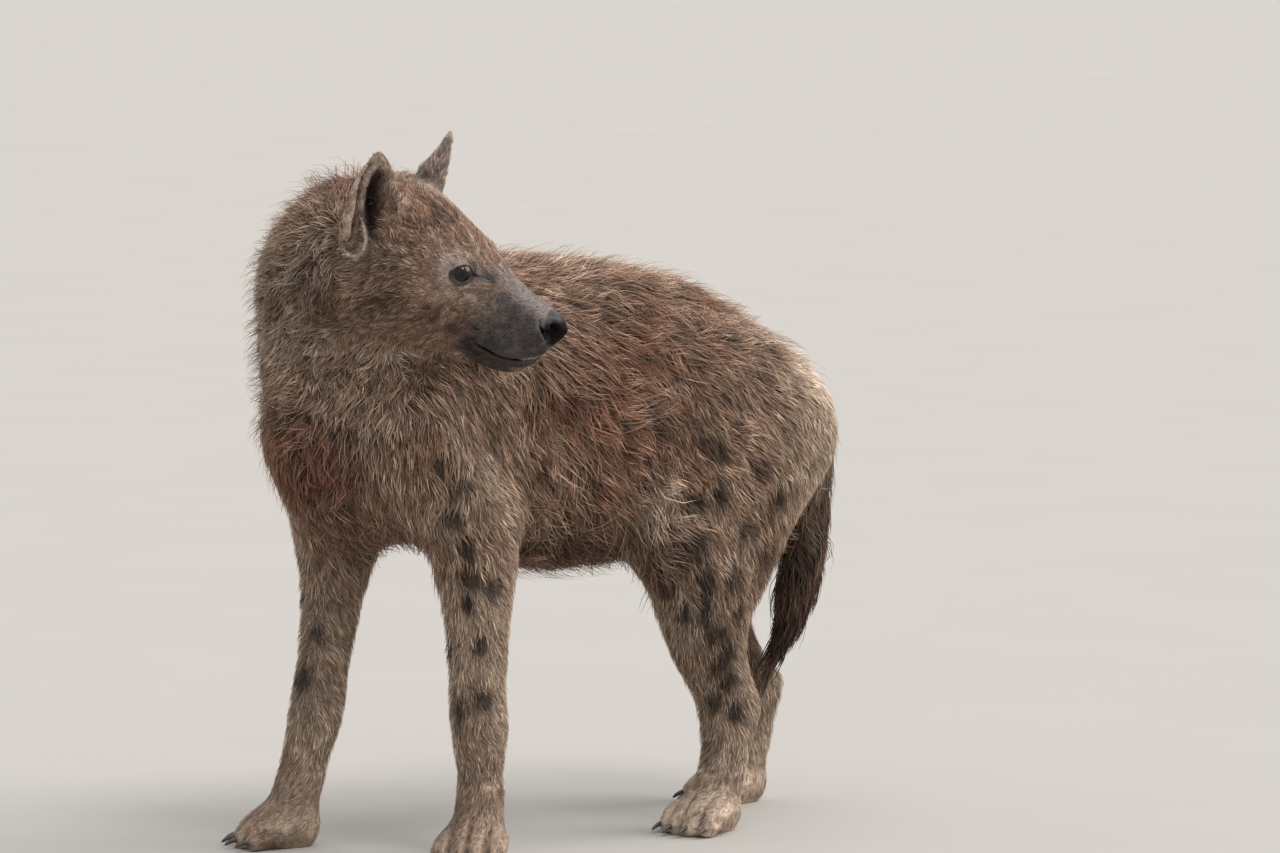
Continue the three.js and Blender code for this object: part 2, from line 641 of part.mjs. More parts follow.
// The origin is on the floor, under the middle of the model's box
const extent = new THREE.Box3().setFromObject(model);
const middle = extent.getCenter(new THREE.Vector3());
model.position.set(-middle.x, -middle.y, -extent.min.z);
const hyena = new THREE.Group();
hyena.add(model);
export default hyena;
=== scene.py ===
# %% [markdown]
# # A spotted hyena, life size, looking back over its shoulder
# This lesson dresses a still model of a spotted hyena. The solids give the pose and the outline out to
# the tips of the coat. Here they get one skin, a sculpted face, eyes, claws, and a coat made of many
# thin tufts.

# %% The frame: the imported solids, and the box round each of them
from math import cos, pi, radians, sin

import bmesh
import bpy
import numpy as np
from mathutils import Matrix, Vector
from mathutils.bvhtree import BVHTree
from mathutils.kdtree import KDTree


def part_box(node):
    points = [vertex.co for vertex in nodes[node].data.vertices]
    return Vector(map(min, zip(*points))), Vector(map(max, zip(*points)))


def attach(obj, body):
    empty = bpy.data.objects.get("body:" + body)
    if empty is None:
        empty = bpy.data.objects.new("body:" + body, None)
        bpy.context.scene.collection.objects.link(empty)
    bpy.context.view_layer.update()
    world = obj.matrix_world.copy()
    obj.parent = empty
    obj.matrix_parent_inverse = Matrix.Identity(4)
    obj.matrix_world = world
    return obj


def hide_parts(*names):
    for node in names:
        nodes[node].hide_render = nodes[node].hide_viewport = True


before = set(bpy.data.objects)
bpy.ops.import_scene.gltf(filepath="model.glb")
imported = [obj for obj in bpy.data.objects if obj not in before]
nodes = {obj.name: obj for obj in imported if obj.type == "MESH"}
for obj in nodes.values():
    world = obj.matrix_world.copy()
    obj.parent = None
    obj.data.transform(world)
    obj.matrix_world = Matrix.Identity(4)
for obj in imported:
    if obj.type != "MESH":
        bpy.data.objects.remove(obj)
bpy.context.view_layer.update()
SEED = 20
rng = np.random.default_rng(SEED)
MM = 0.001

# %% [markdown]
# ## Places on the animal
# Measures on an animal run forward, to its left and up. The midline of the body lies a little to the
# right of the origin, because the turned head widens the box on the left: it is the middle of the trunk.
# The head has its own frame, found from the two eyeballs: x to the nose, y to its left, z to the crown.

# %% Frames of the body and the head
HEAD_TURN, HEAD_PITCH, HEAD_ROLL = radians(35), radians(13), radians(12)
EYE_IN_HEAD = np.array([120.0, 41.5, 6.0]) * MM
EYE_RADIUS = 13.5 * MM


def middle_of(node):
    low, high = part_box(node)
    return np.array((low + high) / 2)


MIDLINE = middle_of("trunk")[0]


def at(forward, left, up):
    return np.array([MIDLINE + left, -forward, up])


turned = Matrix.Rotation(HEAD_TURN, 3, "Z")
pitched = Matrix.Rotation(HEAD_PITCH, 3, "Y")
rolled = Matrix.Rotation(HEAD_ROLL, 3, "X")
head_axes = np.array(turned @ pitched @ rolled)
between_eyes = (middle_of("left_eye") + middle_of("right_eye")) / 2
head_place = between_eyes - head_axes @ (EYE_IN_HEAD * [1, 0, 1])


def to_head(points):
    return (points - head_place) @ head_axes


def from_head(points):
    return np.asarray(points) @ head_axes.T + head_place


print("midline", round(MIDLINE, 4), "and the head's place", head_place.round(4))

# %% [markdown]
# ## Camera
# The photo was taken from far away with a long lens, a little above the animal's belly. A long lens
# keeps the near and the far legs almost the same size.

# %% The camera
AZIMUTH, ELEVATION = radians(53), radians(5.5)
CAMERA_DISTANCE = 9.0
LENS = 202.5
SENSOR_WIDTH = 36
NEAREST_SEEN = 0.1
AIM = at(-0.1171, 0.0271, 0.5083)


def object_of(name, content):
    made = bpy.data.objects.new(name, content)
    bpy.context.collection.objects.link(made)
    return made


def looking_along(way):
    return Vector(way).to_track_quat("-Z", "Y").to_euler()


flat_share = cos(ELEVATION)
towards_camera = np.array([sin(AZIMUTH) * flat_share, -cos(AZIMUTH) * flat_share, sin(ELEVATION)])
camera = object_of("camera", bpy.data.cameras.new("camera"))
camera.location = Vector(AIM + towards_camera * CAMERA_DISTANCE)
camera.rotation_euler = looking_along(-towards_camera)
camera.data.lens = LENS
camera.data.sensor_width = SENSOR_WIDTH
camera.data.clip_start = NEAREST_SEEN
bpy.context.scene.camera = camera
print("camera at", [round(v, 2) for v in camera.location])

# %% [markdown]
# ## Studio
# The day in the photo is bright but hazy: soft light from above, weak shadows. A pale sky all round does
# most of the work. Three broad suns add to it: a high one that gives the back its light and the belly
# its shade, a stronger one from the right and behind for the bright edge of the rump, and a small one
# that glints in the eye and on the wet nose. A sun has no distance, so it lights the far legs as much as
# the near ones.

# %% Floor, sky and lamps
FLOOR_REACH = 60
floor_mesh = bpy.data.meshes.new("floor")
floor_corners = [(x * FLOOR_REACH, y * FLOOR_REACH, 0) for x, y in ((-1, -1), (1, -1), (1, 1), (-1, 1))]
floor_mesh.from_pydata(floor_corners, [], [(0, 1, 2, 3)])
floor = object_of("floor", floor_mesh)

SKY_COLOUR = (0.93, 0.95, 1.0, 1)
SKY_STRENGTH = 0.8
world = bpy.data.worlds.new("sky")
bpy.context.scene.world = world
world.use_nodes = True
sky = world.node_tree.nodes["Background"].inputs
sky["Color"].default_value = SKY_COLOUR
sky["Strength"].default_value = SKY_STRENGTH
rightward = np.array([cos(AZIMUTH), sin(AZIMUTH), 0])


def soft_sun(name, strength, angle, colour, rightwards, upwards, camerawards):
    lamp = bpy.data.lights.new(name, "SUN")
    lamp.energy = strength
    lamp.angle = radians(angle)
    lamp.color = colour
    comes_from = rightward * rightwards + towards_camera * camerawards + np.array([0, 0, upwards])
    object_of(name, lamp).rotation_euler = looking_along(-comes_from)


soft_sun("high light", 1.0, 60, (1.0, 0.97, 0.92), 0.15, 1.0, 0.1)
soft_sun("rear light", 2.4, 45, (1.0, 0.97, 0.93), 0.95, 0.6, -0.1)
soft_sun("catchlight", 1.0, 20, (1.0, 1.0, 1.0), 0.32, 0.78, 0.5)
bpy.context.scene.view_settings.view_transform = "Standard"
print("three lamps and a sky")

# %% [markdown]
# ## One skin
# The solids are many nodes with hair-thin gaps between them, and their faces are flat. A living animal
# has one skin without seams. A voxel remesh wraps copies of all the pieces in one closed surface of
# small quads. The eyeballs join in, so that the skin closes over them and the lids can be shaped later.

# %% Joined copies of the flesh
CLAWS = sorted(name for name in nodes if "claw" in name)
EYES = ["left_eye", "right_eye"]
FLESH = sorted(set(nodes) - set(CLAWS) - set(EYES))
SAME_CORNER = 0.01 * MM
GAP_FILL = 0.8 * MM
VOXEL = 3.15 * MM


def vectors_of(mesh, field):
    flat = np.empty(len(mesh.vertices) * 3)
    mesh.vertices.foreach_get(field, flat)
    return flat.reshape(-1, 3)


def coordinates(mesh):
    return vectors_of(mesh, "co")


def place_vertices(mesh, points):
    mesh.vertices.foreach_set("co", np.ascontiguousarray(points).ravel())
    mesh.update()


def shade_smooth(mesh):
    mesh.polygons.foreach_set("use_smooth", np.ones(len(mesh.polygons), dtype=bool))


def store_field(mesh, name, values):
    field = mesh.attributes.new(name, "FLOAT", "POINT")
    field.data.foreach_set("value", np.asarray(values, dtype=np.float32))


def with_modifiers(made):
    bpy.context.view_layer.update()
    seen = made.evaluated_get(bpy.context.evaluated_depsgraph_get())
    mesh = bpy.data.meshes.new_from_object(seen)
    made.modifiers.clear()
    made.vertex_groups.clear()
    made.data = mesh
    return mesh


joined = bmesh.new()
owner_of_face = []
for number, name in enumerate(FLESH + EYES):
    piece = bmesh.new()
    piece.from_mesh(nodes[name].data)
    bmesh.ops.remove_doubles(piece, verts=piece.verts, dist=SAME_CORNER)
    bmesh.ops.recalc_face_normals(piece, faces=piece.faces)
    piece.normal_update()
    for corner in piece.verts:
        corner.co += corner.normal * GAP_FILL
    grown = bpy.data.meshes.new("grown")
    piece.to_mesh(grown)
    joined.from_mesh(grown)
    owner_of_face += [number] * len(piece.faces)
    piece.free()
    bpy.data.meshes.remove(grown)

flesh_tree = BVHTree.FromBMesh(joined)
flesh_mesh = bpy.data.meshes.new("skin")
joined.to_mesh(flesh_mesh)
joined.free()
skin = object_of("skin", flesh_mesh)
remesh = skin.modifiers.new("wrap", "REMESH")
remesh.mode = "VOXEL"
remesh.voxel_size = VOXEL
mesh = with_modifiers(skin)
print("wrapped skin:", len(mesh.vertices), "vertices")

# %% [markdown]
# ## Even out the facets
# The wrap still shows the flat faces of the solids. Moving each vertex towards the middle of its
# neighbours melts them. Every second round goes the other way a little more, which keeps thin legs and
# ears from shrinking. The trunk is given many rounds, the head and the toes only a few.

# %% Smoothing
owners = np.array(owner_of_face)
GROUPS = {
    "head": ["head", "lower_jaw", "nose", "left_eye", "right_eye"],
    "ear": ["left_ear", "right_ear"],
    "neck": ["neck"],
    "trunk": ["trunk"],
    "tail": ["tail"],
    "shoulder": ["left_fore_shoulder", "right_fore_shoulder"],
    "forearm": ["left_forearm", "right_forearm"],
    "thigh": ["left_hind_thigh", "right_hind_thigh"],
    "shank": ["left_hind_shank", "right_hind_shank"],
    "paw": [name for name in FLESH if "paw" in name],
}
GROUP_NAMES = list(GROUPS)
group_of_node = np.array([
    next(k for k, group in enumerate(GROUP_NAMES) if name in GROUPS[group]) for name in FLESH + EYES
])


def edges_of(mesh):
    flat = np.empty(len(mesh.edges) * 2, dtype=np.int32)
    mesh.edges.foreach_get("vertices", flat)
    return flat.reshape(-1, 2)


def mean_of_neighbours(values, edges):
    count = len(values)
    first, second = edges.T
    degree = np.bincount(edges.ravel(), minlength=count)
    total = [
        np.bincount(first, column[second], count) + np.bincount(second, column[first], count)
        for column in values.T
    ]
    return np.stack(total, 1) / np.maximum(degree, 1)[:, None]


def blurred(values, edges, rounds):
    for _ in range(rounds):
        values = mean_of_neighbours(values, edges)
    return values


def drawn_in(points, edges, strength, where):
    return points + (mean_of_neighbours(points, edges) - points) * strength * where


def nearest_group(points):
    near = [flesh_tree.find_nearest(Vector(p))[2] for p in points]
    return group_of_node[owners[near]]


def share_of(group, points_group):
    return (points_group == GROUP_NAMES.index(group)).astype(float)


points = coordinates(mesh)
edges = edges_of(mesh)
groups = nearest_group(points)
MELT = {
    "head": 0.35, "ear": 0.2, "neck": 1.0, "trunk": 1.0, "tail": 0.9, "shoulder": 1.0,
    "forearm": 0.8, "thigh": 1.0, "shank": 0.8, "paw": 0.3,
}
BORDER_ROUNDS, MELT_ROUNDS, LONG_MELT_ROUNDS = 12, 30, 24
SHRINK, SWELL = 0.63, -0.64
MELTS_LONGER = 0.75
melt = np.array([MELT[group] for group in GROUP_NAMES])[groups][:, None]
melt = blurred(melt, edges, BORDER_ROUNDS)
for _ in range(MELT_ROUNDS):
    points = drawn_in(points, edges, SHRINK, melt)
    points = drawn_in(points, edges, SWELL, melt)
for _ in range(LONG_MELT_ROUNDS):
    points = drawn_in(points, edges, 2, np.maximum(melt - MELTS_LONGER, 0))
place_vertices(mesh, points)
print("smoothed in", MELT_ROUNDS + LONG_MELT_ROUNDS, "rounds")

# %% [markdown]
# ## Fewer faces where the coat hides them
# The wrap has small faces everywhere, but only the head, the ears and the paws show their skin.
# Elsewhere most faces can go. The decimate modifier takes them out, and a vertex group with a soft
# border says where.

# %% Thinning out
FINE_GROUPS = [GROUP_NAMES.index(group) for group in ("head", "ear", "paw")]
KEPT_FACES = 0.2
LEVELS = 10
fine = blurred(np.isin(groups, FINE_GROUPS).astype(float)[:, None], edges, 6)
coarse = skin.vertex_groups.new(name="coarse")
for level in range(LEVELS + 1):
    members = np.flatnonzero(np.round((1 - fine[:, 0]) * LEVELS) == level)
    coarse.add(members.tolist(), level / LEVELS, "REPLACE")
thin_out = skin.modifiers.new("thin out", "DECIMATE")
thin_out.ratio = KEPT_FACES
thin_out.vertex_group = "coarse"
mesh = with_modifiers(skin)
points = coordinates(mesh)
groups = nearest_group(points)
print("thinned skin:", len(mesh.vertices), "vertices,", len(mesh.polygons), "faces")
print({group: int(share_of(group, groups).sum()) for group in GROUP_NAMES})

# %% [markdown]
# ## Finer faces round the eyes, the nose and the mouth
# Lids and nostrils need smaller faces than the rest of the head. Each round of subdivision halves the
# size of the faces that it takes: one round for the front of the face, and one more round the eyes and
# on the nose.

# %% Subdivision of the face
FRONT_OF_FACE, NOSE_ZONE, EYE_ZONE = 99, 221, 26


def in_head_mm(points):
    return to_head(points) / MM


def on_one_half(local):
    return local * [1, 0, 1] + np.abs(local) * [0, 1, 0]


def far_from_eye(local):
    return np.linalg.norm(on_one_half(local) - EYE_IN_HEAD / MM, axis=1)


def in_box(places, low, high):
    return ((places > low) & (places < high)).all(1)


def halve_faces(mesh, chosen):
    form = bmesh.new()
    form.from_mesh(mesh)
    form.verts.ensure_lookup_table()
    for vert, wanted in zip(form.verts, chosen):
        vert.tag = bool(wanted)
    inner = [edge for edge in form.edges if edge.verts[0].tag and edge.verts[1].tag]
    bmesh.ops.subdivide_edges(form, edges=inner, cuts=1, use_grid_fill=True)
    form.to_mesh(mesh)
    form.free()
    mesh.update()


def on_an_ear(points):
    return in_box(on_one_half(in_head_mm(points)), (-30, 50, 6), (52, 125, np.inf))


def on_the_head(points):
    near = in_box(on_one_half(in_head_mm(points)), (40, -1, -130), (260, 100, 130))
    near[near] = nearest_group(points[near]) == GROUP_NAMES.index("head")
    return near


points = coordinates(mesh)
halve_faces(mesh, on_an_ear(points) | on_the_head(points) & (in_head_mm(points)[:, 0] > FRONT_OF_FACE))
points = coordinates(mesh)
local = in_head_mm(points)
halve_faces(mesh, (far_from_eye(local) < EYE_ZONE) | (on_the_head(points) & (local[:, 0] > NOSE_ZONE)))
edges = edges_of(mesh)
points = coordinates(mesh)
face = (on_the_head(points) * np.clip((in_head_mm(points)[:, 0] - 80) / 20, 0, 1))[:, None]
for _ in range(3):
    points = drawn_in(points, edges, 0.5, face)
    points = drawn_in(points, edges, -0.5, face)
place_vertices(mesh, points)
triangles = sum(len(polygon.vertices) - 2 for polygon in mesh.polygons)
print("skin with a finer face:", len(mesh.vertices), "vertices,", triangles, "triangles")

# %% [markdown]
# ## How much of each part a point belongs to
# The coat changes gradually from one part of the body to the next. For every point of the skin, the
# distance to each part gives a share between 0 and 1, so that lengths and colours can be mixed without a
# hard border.

# %% Shares of the parts
BLEND = 14 * MM
REACH = 70 * MM
part_trees = {}
for group in GROUP_NAMES:
    form = bmesh.new()
    for name in GROUPS[group]:
        form.from_mesh(nodes[name].data)
    part_trees[group] = BVHTree.FromBMesh(form)
    form.free()


def shares_of(points):
    gaps = np.full((len(points), len(GROUP_NAMES)), REACH)
    for column, group in enumerate(GROUP_NAMES):
        for row, point in enumerate(points):
            gap = part_trees[group].find_nearest(Vector(point), REACH)[3]
            if gap is not None:
                gaps[row, column] = gap
    closeness = np.exp(-(gaps - gaps.min(1, keepdims=True)) / BLEND)
    return closeness / closeness.sum(1, keepdims=True)


skin_points = coordinates(mesh)
shares = shares_of(skin_points)
part = dict(zip(GROUP_NAMES, shares.T))
local = in_head_mm(skin_points)
on_head = part["head"] + part["ear"] * 0.5
print("shares:", {group: round(float(part[group].sum())) for group in GROUP_NAMES})

# %% [markdown]
# ## From the tips of the coat down to the skin
# The solids reach the tips of the hair. The skin lies deeper by the depth of the coat: almost nothing on
# the nose and lips, a few millimetres on the face and legs, two or three centimetres on the back and the
# mane.

# %% Depth of the coat


def smooth_step(low, high, values):
    t = np.clip((values - low) / (high - low), 0, 1)
    return t * t * (3 - 2 * t)


COAT_DEPTH = {
    "head": 7.0, "ear": 1.2, "neck": 24.0, "trunk": 19.0, "tail": 13.0, "shoulder": 13.0,
    "forearm": 6.0, "thigh": 13.0, "shank": 7.0, "paw": 2.0,
}
THINNER_ON_FACE, THINNER_ON_MUZZLE, THINNER_BELOW = 4.8, 1.7, 9.0
depth = sum(part[group] * COAT_DEPTH[group] for group in GROUP_NAMES)
face_depth = COAT_DEPTH["head"] - THINNER_ON_FACE * smooth_step(40, 110, local[:, 0])
face_depth = face_depth - THINNER_ON_MUZZLE * smooth_step(120, 190, local[:, 0])
depth += part["head"] * (face_depth - COAT_DEPTH["head"])
underside = smooth_step(0.42, 0.3, skin_points[:, 2]) * part["trunk"]
depth -= THINNER_BELOW * underside

edges = edges_of(mesh)
inward = blurred(-vectors_of(mesh, "normal"), edges, 4)
inward /= np.linalg.norm(inward, axis=1, keepdims=True)
wrap_tree = BVHTree.FromObject(skin, bpy.context.evaluated_depsgraph_get())
THICKEST_SHARE = 0.3
LONGEST_RAY = 0.4
JUST_INSIDE = 0.5
for row in range(len(skin_points)):
    start = Vector(skin_points[row] + inward[row] * JUST_INSIDE * MM)
    far = wrap_tree.ray_cast(start, Vector(inward[row]), LONGEST_RAY)[3]
    if far is not None:
        depth[row] = min(depth[row], far / MM * THICKEST_SHARE)
depth = blurred(depth[:, None], edges, 8)
rising = smooth_step(0, 14, skin_points[:, 2] / MM)[:, None]
skin_points[:, 2] = np.maximum(skin_points[:, 2], 0)
skin_points = skin_points + inward * depth * MM * [1, 1, 0] + inward * depth * MM * rising * [0, 0, 1]
body = (1 - on_head - part["paw"])[:, None].clip(0, 1)
for _ in range(6):
    skin_points = drawn_in(skin_points, edges, 0.4, body)
place_vertices(mesh, skin_points)
local = in_head_mm(skin_points)
print("coat depth from", round(float(depth.min()), 1), "to", round(float(depth.max()), 1), "mm")

# %% [markdown]
# ## Sculpting the face
# The face is worked in the head's own frame, and both halves at once: the right half is mirrored onto
# the left one, pushed, and mirrored back. A fold or a slit is a path over the skin, and the skin near
# the path sinks by a bell-shaped amount.

# %% Tools for the sculpting
side = np.where(local[:, 1] < 0, -1.0, 1.0)
UPRIGHT_HALF = np.stack([np.ones_like(side), side, np.ones_like(side)], 1)
half = local * UPRIGHT_HALF
print("points to sculpt:", int(part["head"].sum()), "on the head,", int(part["ear"].sum()), "on the ears")


def bell(distance, width):
    return np.exp(-((distance / width) ** 2))


def gap_to_path(points, path):
    path = np.array(path, dtype=float)
    nearest = np.full(len(points), np.inf)
    along = np.zeros(len(points))
    for number, (start, end) in enumerate(zip(path[:-1], path[1:])):
        span = end - start
        t = np.clip((points - start) @ span / (span @ span), 0, 1)
        gap = np.linalg.norm(points - start - t[:, None] * span, axis=1)
        closer = gap < nearest
        nearest[closer] = gap[closer]
        along[closer] = (number + t[closer]) / (len(path) - 1)
    return nearest, along


def head_normals():
    mesh.update()
    return (vectors_of(mesh, "normal") @ head_axes) * UPRIGHT_HALF


def store_half():
    place_vertices(mesh, from_head(half * UPRIGHT_HALF * MM))


# %% [markdown]
# Some folds are easier to point at in the photograph. A line of sight goes from the camera through each
# named place of the 1280 by 853 picture, and the path runs where these lines meet the skin. A line that
# just misses the head takes the point of the skin that it passes closest.

# %% Paths traced from the picture
PICTURE_WIDTH, PICTURE_HEIGHT = 1280, 853
camera_turn = np.array(camera.rotation_euler.to_matrix())
camera_place = np.array(camera.location)


def sight_through(pixel):
    right = (pixel[0] - PICTURE_WIDTH / 2) / PICTURE_WIDTH * SENSOR_WIDTH / camera.data.lens
    rise = (PICTURE_HEIGHT / 2 - pixel[1]) / PICTURE_WIDTH * SENSOR_WIDTH / camera.data.lens
    sight = camera_turn @ np.array([right, rise, -1.0])
    return sight / np.linalg.norm(sight)


def tree_of_skin():
    form = bmesh.new()
    form.from_mesh(mesh)
    tree = BVHTree.FromBMesh(form)
    form.free()
    return tree


def on_the_near_side(local):
    return in_box(local, (-60, -135, -140), (262, 30, 175))


def traced(pixels):
    tree = tree_of_skin()
    spots = coordinates(mesh)
    spots = spots[on_the_near_side(in_head_mm(spots))]
    path = []
    for pixel in pixels:
        sight = sight_through(pixel)
        met = tree.ray_cast(camera.location, Vector(sight), 2 * CAMERA_DISTANCE)[0]
        if met is None or not on_the_near_side(in_head_mm(np.array(met)[None]))[0]:
            met = spots[np.argmin(np.linalg.norm(np.cross(spots - camera_place, sight), axis=1))]
        path.append(in_head_mm(np.array(met)[None])[0] * [1, -1, 1])
    return np.array(path)


print("camera place for the lines of sight:", camera_place.round(2))


# %% [markdown]
# The solids of the head are a little too plain. The nose gets its drop and reach, the lip steps back,
# and the chin hangs. Shallow creases round the eye, a soft edge under the cheekbone and a furrow down
# the forehead follow: each is a path over the skin, with how deep and how wide it sinks.

# %% Nose, chin, brow and cheek
NOSE_DROP, NOSE_REACH, LIP_BACK, CHIN_DROP = 3.0, 5.0, 3.0, 3.0
snout = smooth_step(200, 230, half[:, 0]) * part["head"]
jaw_share = smooth_step(130, 180, half[:, 0]) * smooth_step(-88, -98, half[:, 2]) * part["head"]
half[:, 2] -= NOSE_DROP * snout * smooth_step(-52, -28, half[:, 2]) + CHIN_DROP * jaw_share
lip_share = snout * smooth_step(-66, -78, half[:, 2])
half[:, 0] += NOSE_REACH * snout * bell(half[:, 2] + 52, 15) - LIP_BACK * lip_share
store_half()
BROW_CREASE = [(112, 50, 17), (118, 48.5, 22), (125, 46, 24.5), (132, 42, 23), (138, 39.5, 17)]
UNDER_EYE_CREASE = [(106, 60, -6), (115, 59, -13), (126, 53, -15), (137, 47, -11)]
CHEEK_EDGE = [(96, 62, -22), (112, 60, -34), (130, 52, -44), (150, 46, -52)]
CREASES = ((BROW_CREASE, 1.6, 2.6), (UNDER_EYE_CREASE, 1.0, 3.2), (CHEEK_EDGE, 2.2, 12.0))
normals = head_normals()
head_only = smooth_step(0.4, 0.8, part["head"] + 0.4 * part["ear"])
for path, sink, width in CREASES:
    gap, along = gap_to_path(half, path)
    taper = np.sin(np.clip(along, 0.06, 0.94) * pi) ** 0.5
    half = half - normals * (sink * bell(gap, width) * taper * head_only)[:, None]
FOREHEAD_FURROW = [(60, 0, 66), (90, 0, 58), (118, 0, 42), (140, 0, 27)]
FURROW_DEPTH, FURROW_WIDTH = 2.0, 7.0
gap, along = gap_to_path(half, FOREHEAD_FURROW)
furrow = FURROW_DEPTH * bell(gap, FURROW_WIDTH) * np.sin(along * pi) * head_only
half = half - normals * furrow[:, None]
store_half()
print("the head has", len(CREASES), "creases and a furrow")

# %% [markdown]
# ## Eyelids
# The lids lie on the eyeball like a thin rim round an almond opening. The rim is drawn in the plane that
# faces the eye, by its distance from the middle in a few directions. Outside the rim the skin is laid on
# a ball a little larger than the eye and fades into the face; inside it drops behind the eyeball.

# %% The lids
eye_middle = EYE_IN_HEAD / MM
ball = EYE_RADIUS / MM
GAZE = np.array([0.5, 0.84, 0.2])
gaze = GAZE / np.linalg.norm(GAZE)
nosewards = np.array([0.87, -0.48, 0.13])
nosewards -= gaze * (nosewards @ gaze)
nosewards /= np.linalg.norm(nosewards)
upwards = np.cross(nosewards, gaze)
LID_RIM = [
    (-11.6, 1.2), (-7.6, 4.4), (-2.0, 6.9), (4.0, 7.7), (8.6, 6.2), (10.6, 1.6), (11.0, -4.0),
    (4.6, -7.3), (-0.5, -7.9), (-5.8, -6.1), (-10.0, -2.2),
]
LID_THICKNESS = 1.7
SOCKET_DEPTH = 2.6
UPPER_BULGE, LOWER_BULGE = 1.5, 1.0
EYE_SURROUND = 40
rim = np.array(LID_RIM)
rim_angle = np.arctan2(rim[:, 1], rim[:, 0])
rim_order = np.argsort(rim_angle)


def rim_radius(angle):
    return np.interp(angle, rim_angle[rim_order], np.hypot(*rim.T)[rim_order], period=2 * pi)


arm = half - eye_middle
across, height, outward = arm @ nosewards, arm @ upwards, arm @ gaze
radius = np.linalg.norm(arm, axis=1)
out_of_middle = np.hypot(across, height)
gap_to_rim = out_of_middle - rim_radius(np.arctan2(height, across))
near_eye = (outward > -2) & (radius < EYE_SURROUND)
rim_shape = ball + LID_THICKNESS * smooth_step(-1.0, 0.3, gap_to_rim)
rim_shape -= SOCKET_DEPTH * smooth_step(0.0, -1.6, gap_to_rim)
upper_lid_bulge = UPPER_BULGE * bell(gap_to_rim - 3.6, 2.4) * smooth_step(-2, 4, height)
upper_lid_bulge = upper_lid_bulge * smooth_step(-12, 2, across)
lower_lid_bulge = LOWER_BULGE * bell(gap_to_rim - 3.2, 2.2) * smooth_step(1, -4, height)
blend_out = smooth_step(2.5, 9.0, gap_to_rim)
wanted = (rim_shape + upper_lid_bulge + lower_lid_bulge) * (1 - blend_out) + radius * blend_out
new_radius = np.where(near_eye, wanted, radius)
half = eye_middle + arm * (new_radius / np.maximum(radius, 1e-6))[:, None]
store_half()
print("eye opening:", round(np.ptp(rim[:, 0]), 1), "by", round(np.ptp(rim[:, 1]), 1), "mm")

# %% The tear duct, a thin groove from the inner corner of the eye
TEAR_PIXELS = [(471, 275), (476, 276.5), (482, 277), (488, 278.5), (493, 280)]
TEAR_DEPTH, TEAR_WIDTH = 2.6, 1.5
CORNER_DEPTH, CORNER_WIDTH = 1.2, 4.0
tear_gap, tear_along = gap_to_path(half, traced(TEAR_PIXELS))
normals = head_normals()
tear_depth = TEAR_DEPTH * bell(tear_gap, TEAR_WIDTH) + CORNER_DEPTH * bell(tear_gap, CORNER_WIDTH)
tear_depth = tear_depth * (1 - 0.8 * tear_along) * smooth_step(-0.5, 2.0, gap_to_rim)
half = half - normals * tear_depth[:, None]
store_half()
print("tear duct up to", round(float(tear_depth.max()), 1), "mm deep")

# %% [markdown]
# ## Nostrils, lips and chin
# A hyena's nostril is a round hole at the front that runs back up in a narrow slit, like a comma. The
# mouth is a long slit, and the upper lip hangs a little over the lower one.

# %% Nostrils, philtrum and mouth
NOSTRIL_PIXELS = [(540, 322), (541, 328), (544, 333), (549, 336), (554, 335), (557, 332)]
MOUTH_PIXELS = [
    (532, 360), (527, 361), (515, 360.5), (502.5, 358.5), (494, 355), (486, 350), (478, 346), (471, 341),
]
INTO_NOSTRIL = np.array([-0.85, -0.25, 0.15])
SLIT_WIDTH, SLIT_DEPTH = 2.0, 2.8
HOLE_WIDTH, HOLE_DEPTH = 5.6, 10.0
WING_HEIGHT = 0.7
nostril_path = traced(NOSTRIL_PIXELS)
mouth_path = traced(MOUTH_PIXELS)
mouth_path = np.vstack([mouth_path[0] * [1, 0, 1] + [2, 0, 0], mouth_path])
mouth_path = mouth_path[np.argsort(-mouth_path[:, 0])]
normals = head_normals()
nostril_gap, nostril_along = gap_to_path(half, nostril_path)
towards_hole = smooth_step(0.3, 0.75, nostril_along)
nostril_share = bell(nostril_gap, SLIT_WIDTH + HOLE_WIDTH * towards_hole)
nostril_sink = (SLIT_DEPTH + HOLE_DEPTH * towards_hole) * nostril_share
half = half + INTO_NOSTRIL * nostril_sink[:, None]
wing = WING_HEIGHT * bell(nostril_gap - 5.0, 2.6) * smooth_step(0.2, 0.6, nostril_along)
wing = wing * smooth_step(214, 222, half[:, 0])
half = half + normals * wing[:, None]
print("nostrils up to", round(float(nostril_sink.max()), 1), "mm deep")

# %% The mouth and the groove under the nose
MOUTH_DEPTH, MOUTH_WIDTH = 4.6, 2.1
PHILTRUM_DEPTH, PHILTRUM_WIDTH, LIP_FULLNESS = 1.8, 1.6, 1.6
mouth_gap, mouth_along = gap_to_path(half, mouth_path)
above_mouth = half[:, 2] - np.interp(-half[:, 0], -mouth_path[:, 0], mouth_path[:, 2])
mouth_part = head_only * smooth_step(1.0, 0.9, mouth_along)
philtrum = bell(half[:, 1], PHILTRUM_WIDTH) * smooth_step(222, 230, half[:, 0])
philtrum = philtrum * smooth_step(-48, -55, half[:, 2]) * smooth_step(-2, 4, above_mouth)
half = half - normals * (PHILTRUM_DEPTH * philtrum * head_only)[:, None]
half = half - normals * (MOUTH_DEPTH * bell(mouth_gap, MOUTH_WIDTH) * mouth_part)[:, None]
upper_lip = LIP_FULLNESS * bell(above_mouth - 6, 5) * bell(mouth_gap, 12) * mouth_part
half = half + normals * upper_lip[:, None]
store_half()
print("the mouth is", round(float(np.ptp(mouth_path[:, 0]))), "mm long")

